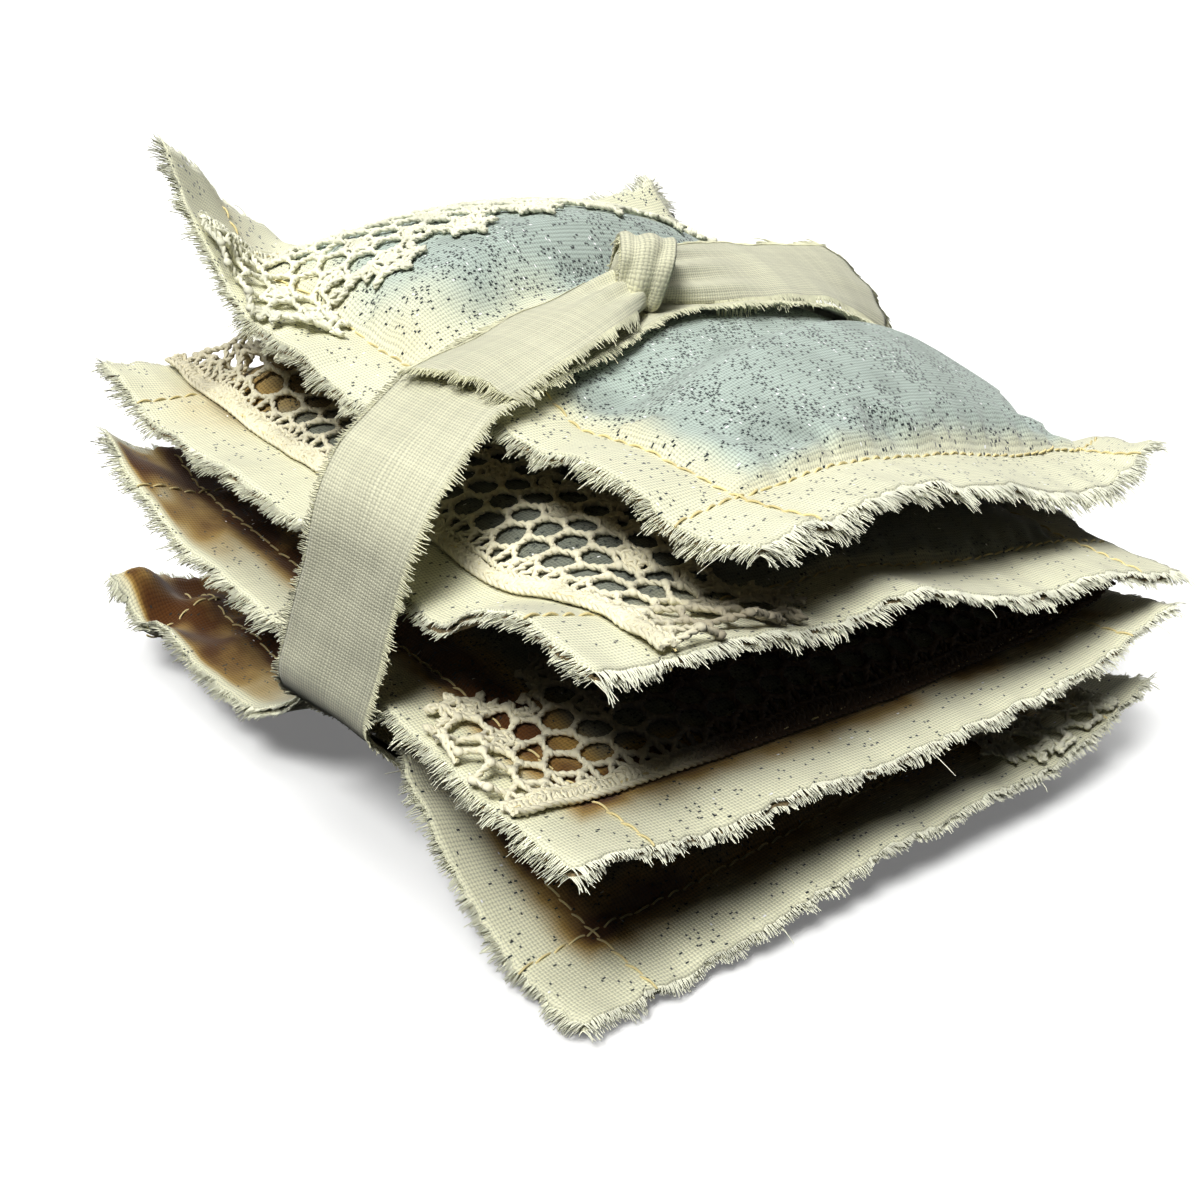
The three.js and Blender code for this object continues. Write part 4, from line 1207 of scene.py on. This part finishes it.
def draw_lace():
    net = Net()
    ring = [(0.5, 1 / 3), (0, 2 / 3), (-0.5, 1 / 3), (-0.5, -1 / 3), (0, -2 / 3), (0.5, -1 / 3)]
    used = {}
    around = {}
    for along, inward, row, from_tip in lace_meshes():
        corners = [net.point(along + a * PITCH, inward + b * ROW) for a, b in ring]
        for first, second in zip(corners, corners[1:] + corners[:1]):
            net.bar(first, second)
            key = (min(first, second), max(first, second))
            used[key] = used.get(key, 0) + 1
        for corner in corners:
            net.knots.add(corner)
            around.setdefault(corner, []).append((along, inward))
        if row in (2, 4) and from_tip < 0.1:
            centre = net.point(along, inward)
            web = [net.point(along + 0.5 * a * PITCH, inward + 0.5 * b * ROW) for a, b in ring]
            for k in range(6):
                net.bar(corners[k], web[k])
                net.bar(web[k], centre)
                net.bar(web[k], web[k - 1])
        if row == 0:
            foot, side = corners[4], corners[5]
            for shift in (-0.25, 0.25):
                net.bar(foot, net.point(along + shift * PITCH, CORD_AT))
            net.bar(side, net.point(along + 0.5 * PITCH, CORD_AT))
    scalloped_rim(net, used, around)
    return net


lace_net = draw_lace()
for inward in (0.35, CORD_AT):
    lace_net.line([(k * PITCH / 4, inward, 0.0) for k in range(4 * MESHES + 1)])
for phase in range(3):
    at = np.arange(0, LACE_LENGTH, 0.27)
    swing = at * 2 * math.pi / 2.1 + phase * 2 * math.pi / 3
    lace_net.line(list(zip(at + 0.01 * phase, 1.52 + 0.95 * np.sin(swing), 0.3 * np.cos(2 * swing))))
print("flat lace:", len(lace_net.points), "points,", len(lace_net.bars), "bars")

# %% [markdown]
# Crochet yarn is wound from strands. A tree turns every bar into two strands twisted round each
# other and puts a knot where bars meet. The flat lace is laid on its sachet before that: each point
# takes its place and its way up from the cloth below, a little loosened, and the ends stand up.

# %% Twist the lace
LOOSENESS = 0.16
ABOVE_CLOTH = 0.72


def vector_calc(tree, operation, links):
    return node(tree, "ShaderNodeVectorMath", links, operation=operation).outputs[0]


def twisted_strands(tree, given, bars):
    along = node(tree, "GeometryNodeSplineParameter").outputs[1]
    turn = calc(tree, "MULTIPLY", calc(tree, "DIVIDE", along, given["Twist"]), 2 * math.pi)
    normal = node(tree, "GeometryNodeInputNormal").outputs[0]
    tangent = node(tree, "GeometryNodeInputTangent").outputs[0]
    side = vector_calc(tree, "CROSS_PRODUCT", {0: tangent, 1: normal})
    off = calc(tree, "MULTIPLY", given["Yarn"], 0.42)
    strands = node(tree, "GeometryNodeJoinGeometry")
    for phase in (0.0, math.pi):
        angle = calc(tree, "ADD", turn, phase)
        parts = []
        for wave, way in (("COSINE", normal), ("SINE", side)):
            size = calc(tree, "MULTIPLY", calc(tree, wave, angle), off)
            parts.append(vector_calc(tree, "SCALE", {0: way, "Scale": size}))
        shift = vector_calc(tree, "ADD", {0: parts[0], 1: parts[1]})
        strand = node(tree, "GeometryNodeSetPosition", {0: bars, 3: shift}).outputs[0]
        tree.links.new(strand, strands.inputs[0])
    return strands.outputs[0]


def lace_tree():
    inputs = {"Yarn": 0.00054, "Twist": 0.0022, "Step": 0.0005, "Knot": 0.00066}
    tree, given = new_tree("twisted_lace", inputs)
    bars = node(tree, "GeometryNodeMeshToCurve", {0: given["Geometry"]}).outputs[0]
    links = {0: bars, "Length": given["Step"]}
    bars = node(tree, "GeometryNodeResampleCurve", links, mode="LENGTH").outputs[0]
    section = yarn_section(tree, 5, given["Yarn"])
    links = {0: twisted_strands(tree, given, bars), 1: section, 3: True}
    tubes = node(tree, "GeometryNodeCurveToMesh", links).outputs[0]
    tied = calc(tree, "GREATER_THAN", named(tree, "knot", "FLOAT"), 0.5)
    places = node(tree, "GeometryNodeMeshToPoints", {0: given["Geometry"], 1: tied}).outputs[0]
    ball = node(tree, "GeometryNodeMeshUVSphere", {0: 7, 1: 4, 2: given["Knot"]}).outputs[0]
    upright = facing(tree, named(tree, "up", "FLOAT_VECTOR"), "Z", (0.3, 0.9, 0.1), "X")
    links = {0: places, 2: ball, 5: upright, 6: (1.15, 1.15, 0.8)}
    knots = node(tree, "GeometryNodeInstanceOnPoints", links).outputs[0]
    lace = node(tree, "GeometryNodeJoinGeometry")
    tree.links.new(tubes, lace.inputs[0])
    tree.links.new(knots, lace.inputs[0])
    return end_tree(tree, given, lace.outputs[0])


twisted_lace = lace_tree()


def lay_lace(name, seed):
    side = SACHETS[name]["lace"]
    chance = np.random.default_rng(seed)
    flat = np.array(lace_net.points)
    along, inward, lift = flat[:, 0] - LACE_LENGTH / 2, flat[:, 1], flat[:, 2]
    free = inward > CORD_AT + 0.5
    drift = 0.5 * soft_waves(along, inward, 24, seed)
    along = along + free * chance.normal(0, LOOSENESS, len(flat)) + drift
    drift = 0.4 * soft_waves(along, inward, 30, seed + 1)
    inward = inward + free * chance.normal(0, LOOSENESS, len(flat)) + drift
    end = smooth(abs(along), 43, 55)
    lift = lift + end * (0.7 + 0.8 * soft_waves(along, inward, 7, seed + 2)).clip(0, None)
    stain_and_shade = np.zeros(len(flat))
    if name == "second":
        back_end = smooth(-along, 30, 48)
        crumpled = 2.5 + 1.5 * soft_waves(along, inward, 6, seed + 3)
        lift = lift + back_end * crumpled * smooth(inward, 0, 10)
        stain_and_shade = np.maximum(0.2 * back_end, 0.5 * smooth(along, 42, 52) * smooth(inward, 3, 8))
    # The third's lace is painted dark beyond its near end: painted shade where it lies in the gap.
    if name == "third":
        stain_and_shade = smooth(along + 0.3 * inward, -38, -22)
    out = SEAM + (4 if name == "bottom" else 1.2) - inward
    beside = {"left": (-out, -along), "right": (out, along), "front": (along, -out), "back": (-along, out)}
    x, y = beside[side]
    place, up = on_cloth(cloth[name, "front"], x, y)
    knot = np.zeros(len(flat))
    knot[list(lace_net.knots)] = 1
    return place + up * (ABOVE_CLOTH + lift)[:, None], {"up": up, "knot": knot, "stain_and_shade": stain_and_shade}


laces = {}
for order, name in enumerate(SACHETS):
    place, values = lay_lace(name, 300 + order)
    dyed = lace_yarn if name in ("top", "bottom") else stained_shaded_lace_yarn
    laces[name] = grow(f"{name}_lace", place, list(lace_net.bars), values, twisted_lace, dyed)

# %% [markdown]
# Inside each pillow is loose dried lavender. Nobody sees it, but a part that is cut open or shown
# by its pieces should have its filling, so some hundred small buds fill the space between the two
# panels, a safe distance from the cloth.

# %% Lavender buds
BUDS = 650
PLACES_TRIED = 1500
HEAP_HALF = 36
BUD_ROOM = 1.8


def bud_tree():
    tree, given = new_tree("lavender_buds", {"Length": 0.0042, "Width": 0.0017, "Seed": 9})
    bud = node(tree, "GeometryNodeMeshUVSphere", {0: 6, 1: 4, 2: 0.5}).outputs[0]
    tilts = [drawn(tree, -0.4, 0.4, seed) for seed in (1, 2)]
    turn = vector(tree, tilts[0], tilts[1], drawn(tree, 0.0, 6.28, given["Seed"]))
    turn = node(tree, "FunctionNodeEulerToRotation", {0: turn}).outputs[0]
    size = vector(tree, given["Length"], given["Width"], given["Width"])
    links = {0: places_of(tree, given), 2: bud, 5: turn, 6: size}
    heap = node(tree, "GeometryNodeInstanceOnPoints", links).outputs[0]
    return end_tree(tree, given, heap)


lavender_buds = bud_tree()


def heap_points(name, seed):
    chance = np.random.default_rng(seed)
    x, y = chance.uniform(-HEAP_HALF, HEAP_HALF, (2, PLACES_TRIED))
    low = on_cloth(cloth[name, "back"], x, y)[0]
    high = on_cloth(cloth[name, "front"], x, y)[0]
    room = high[:, 2] - low[:, 2] - 2 * COTTON - 2 * BUD_ROOM
    share = chance.uniform(0, 1, len(x))
    place = low + (high - low) * 0.5
    place[:, 2] = low[:, 2] + COTTON + BUD_ROOM + share * room
    return place[room > 0.3][:BUDS]


heaps = {}
for order, name in enumerate(SACHETS):
    inside = heap_points(name, 500 + order)
    heaps[name] = grow(f"{name}_lavender", inside, [], {}, lavender_buds, dried_buds)

# %% [markdown]
# The tie is one torn strip of plain cotton. It goes round the stack as a taut band, is knotted on
# top between the two swellings of the top sachet, and leaves two loose ends. Flat strips are built
# straight from their course: a row of stations along the strip, each with points across it.

# %% The band
RING_STEP = 1.2


def tie_ring(step):
    ring = np.roll(LOOP, -UNDERSIDE, 0)
    ring = np.concatenate([ring, ring[:1]])
    along = np.concatenate([[0], np.cumsum(np.linalg.norm(np.diff(ring, axis=0), axis=1))])
    count = int(along[-1] / step)
    at = np.linspace(0, along[-1], count, endpoint=False)
    ring = np.stack([np.interp(at, along, ring[:, k]) for k in range(2)], 1)
    for repeat in range(6):
        ring = (np.roll(ring, 1, 0) + 2 * ring + np.roll(ring, -1, 0)) / 4
    way = unit(np.roll(ring, -1, 0) - np.roll(ring, 1, 0))
    normal = np.stack([way[:, 1], -way[:, 0]], 1)
    return ring + PLAY * normal, normal, at


ring, ring_out, ring_at = tie_ring(RING_STEP)
across = np.linspace(-TIE_WIDTH / 2, TIE_WIDTH / 2, 17)
at, wide = np.meshgrid(ring_at, across, indexing="ij")
gather = np.exp(-(((ring[:, 0] + 3) / 9) ** 2)) * (ring[:, 1] > 40)
swell = 0.12 * soft_waves(at, wide, 16, 61) + 0.05 * soft_waves(at, wide, 5, 62) + 0.2 * (wide / 9) ** 4
swell = np.clip(swell, -0.1, None) * np.where(ring[:, 1] < 1.0, 0.0, 1.0)[:, None]
width = wide * (1 - 0.3 * gather)[:, None] + 0.3 * soft_waves(at, 0 * wide, 21, 63) * np.sign(wide)
band_points = np.stack([
    ring[:, :1] + ring_out[:, :1] * swell,
    tie_y(ring[:, 0], ring[:, 1])[:, None] + width,
    ring[:, 1:] + ring_out[:, 1:] * swell,
], -1)
band_points[..., 2] = np.maximum(band_points[..., 2], 0.0)
loop_length = float(ring_at[-1] + RING_STEP)
closed = np.concatenate([band_points, band_points[:1]])
band_flat = np.stack(np.meshgrid(np.append(ring_at, loop_length), across, indexing="ij"), -1)
band = cloth_piece("tie_band_cloth", closed, band_flat + TIE_WIDTH / 2, tie_cotton)
print("band of", round(loop_length), "mm")

# %% [markdown]
# Each loose end leaves the knot gathered into folds and opens to its full width within a few
# centimetres. The left one lies back on the band. The right one stands out over the falling edge
# of the top sachet, and its torn end droops at the near corner.

# %% The loose ends
LEFT_START = -8.11
LEFT_LENGTH = 36.0
RIGHT_START = 2.11
RIGHT_LENGTH = 50.0
IN_KNOT = 4.0
TIE_YARN = 0.22


def course(share, values):
    """A smooth run through four values at equal steps from the knot to the end."""
    return np.polyval(np.polyfit((0, 1 / 3, 2 / 3, 1), values, 3), share)


def tail_points(start, length, way, front, back, bulge, slant, seed):
    share, wide = np.meshgrid(np.linspace(0, 1, 45), np.linspace(-1, 1, 19), indexing="ij")
    torn = bulge * (1 - wide ** 2) * share ** 4 + slant * wide * share ** 3
    torn = torn + 0.7 * soft_waves(wide * 9, 0 * wide, 4, seed) * share ** 6
    run = (length + IN_KNOT) * share - IN_KNOT + torn
    x = start + way * run
    low_y, low_z = course(share, front[0]), course(share, front[1])
    high_y, high_z = course(share, back[0]), course(share, back[1])
    part = (wide + 1) / 2
    over = np.stack([low_z - high_z, high_y - low_y], -1)
    over = over / np.linalg.norm(over, axis=-1, keepdims=True)
    fold = 0.55 * (1 - smooth(share, 0.08, 0.5)) * np.cos(wide * 3 * math.pi) + 0.9 * (1 - wide ** 2)
    fold = fold + 0.2 * soft_waves(run, wide * 9, 13, seed + 1) * smooth(share, 0.1, 0.5)
    y = tie_top_y(x) + low_y + (high_y - low_y) * part + over[..., 0] * fold
    z = low_z + (high_z - low_z) * part + over[..., 1] * fold
    flat = np.stack([run + 14, TIE_WIDTH / 2 + wide * TIE_WIDTH / 2], -1)
    return np.stack([x, y, z], -1), flat


left_rest = band_height(LEFT_START - LEFT_LENGTH * np.linspace(0, 1, 4))
left_front = ((-3.2, -8, -9, -8.5), left_rest + (2.0, 3.2, 2.4, 1.5))
left_back = ((2.2, 5.5, 6.5, 7), left_rest + (6.5, 3.2, 1.9, 1.3))
right_front = ((-3.0, -8, -8, -6.5), (65.0, 64.2, 61.8, 53.6))
right_back = ((1.8, 5.8, 6, 6), (71.5, 69.2, 67.4, 66.2))
left_points, left_flat = tail_points(
    LEFT_START, LEFT_LENGTH, -1, left_front, left_back, bulge=0.5, slant=2.0, seed=71)
right_points, right_flat = tail_points(
    RIGHT_START, RIGHT_LENGTH, 1, right_front, right_back, bulge=2.5, slant=-3.0, seed=81)
left_tail = cloth_piece("tie_left_tail_cloth", left_points, left_flat, tie_cotton)
right_tail = cloth_piece("tie_right_tail_cloth", right_points, right_flat, tie_cotton, flip=True)


def strip_rim(points):
    sides = [(points[:, 0], points[:, 2], UP), (points[:, -1], points[:, -3], UP)]
    return sides + [(points[-1], points[-3], UP)]


left_rim = strip_rim(left_points[8:])
right_rim = strip_rim(right_points[8:])
left_fringe = fringe("tie_left_tail_fringe", left_rim, tie_yarn, 0.27, 1.5, 710, TIE_YARN)
right_fringe = fringe("tie_right_tail_fringe", right_rim, tie_yarn, 0.22, 2.0, 810, TIE_YARN)
above = band_points[..., 2].mean(1) > 1.0
band_rim = []
for run in np.split(np.arange(len(above)), np.flatnonzero(np.diff(above.astype(int))) + 1):
    if above[run[0]] and len(run) > 3:
        outward = np.insert(ring_out[run].mean(0), 1, 0.0)
        band_rim += [(band_points[run][:, 0], band_points[run][:, 2], outward)]
        band_rim += [(band_points[run][:, -1], band_points[run][:, -3], outward)]
band_fringe = fringe("tie_band_fringe", band_rim, tie_yarn, 0.27, 1.5, 610, TIE_YARN)

# %% [markdown]
# The knot is the strip wrapped once round itself. A closed band of gathered cloth stands for the
# wrap, with its torn edge to the left, and a pleated core fills it between the two loose ends.

# %% The knot
KNOT = np.array([-4.4, 1.2, 68.6])
KNOT_TURN = math.radians(-38)
KNOT_WAY = (math.cos(KNOT_TURN), math.sin(KNOT_TURN))


def wrapped(half_long, half_deep, half_high, pinch, pleats, depth, seed):
    turn, along = np.meshgrid(np.linspace(0, 2 * math.pi, 61), np.linspace(-1, 1, 25), indexing="ij")
    fold = depth * np.cos(along * pleats * math.pi + 0.9 * np.sin(turn + seed))
    fold = fold + 0.4 * depth * np.sin(5 * turn + 3 * along + seed)
    size = np.sqrt(1 - pinch * along ** 4)
    ways = [np.sign(wave) * abs(wave) ** 0.8 for wave in (np.cos(turn), np.sin(turn))]
    y = ways[0] * (half_deep + fold) * size
    z = ways[1] * (half_high + fold) * size
    x = half_long * along * (1 + 0.12 * ways[1]) + 0.14 * z
    flat = np.stack([turn * half_high, TIE_WIDTH / 2 + along * half_long], -1)
    turned = np.stack([x * KNOT_WAY[0] - y * KNOT_WAY[1], x * KNOT_WAY[1] + y * KNOT_WAY[0], z], -1)
    return KNOT + turned, flat


core_points, core_flat = wrapped(
    half_long=3.2, half_deep=3.4, half_high=3.9, pinch=1.0, pleats=4, depth=0.2, seed=1)
wrap_points, wrap_flat = wrapped(
    half_long=3.3, half_deep=4.1, half_high=4.7, pinch=0.2, pleats=2, depth=0.32, seed=4)
knot_core = cloth_piece("tie_knot_core", core_points, core_flat, tie_cotton)
knot_wrap = cloth_piece("tie_knot_wrap", wrap_points, wrap_flat, tie_cotton)
knot_rim = [(wrap_points[:, 0], wrap_points[:, 2], UP)]
knot_fringe = fringe("tie_knot_fringe", knot_rim, tie_yarn, 0.3, 1.0, 910)

# %% [markdown]
# The pieces of the sachets, the band and the knot now ride on their bodies, and the CAD nodes they
# stand for are hidden. The two loose ends and their threads keep the place they were made in, with
# their transforms baked in, and their CAD nodes are hidden too.

# %% Hand over
for (name, face), piece in panels.items():
    thread = "needle" if face == "front" else "bobbin"
    for part in (piece, fringes[name, face], seams[name, face]):
        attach(part, SACHETS[name]["body"])
    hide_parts(f"{name}_{face}_panel")
    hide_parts(f"{name}_{thread}_thread")
for name, sachet in SACHETS.items():
    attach(laces[name], sachet["body"])
    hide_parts(f"{name}_lace_trim")
    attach(heaps[name], sachet["body"])
    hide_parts(f"{name}_lavender_fill")
tie_pieces = [band, band_fringe, knot_core, knot_wrap, knot_fringe]
for piece in tie_pieces:
    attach(piece, "bundle")
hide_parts("tie_band")
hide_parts("tie_knot")
for piece, threads, body, start, way in (
    (left_tail, left_fringe, "left_tail", LEFT_START, -1),
    (right_tail, right_fringe, "right_tail", RIGHT_START, 1),
):
    for part in (piece, threads):
        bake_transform(part)
    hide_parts(f"tie_{body}")
tie_pieces += [left_tail, left_fringe, right_tail, right_fringe]

# %% [markdown]
# Last, the number of panels and the length of the band are printed.

print("declared:", len(panels), "panels, a band of", round(loop_length), "mm and two loose ends")
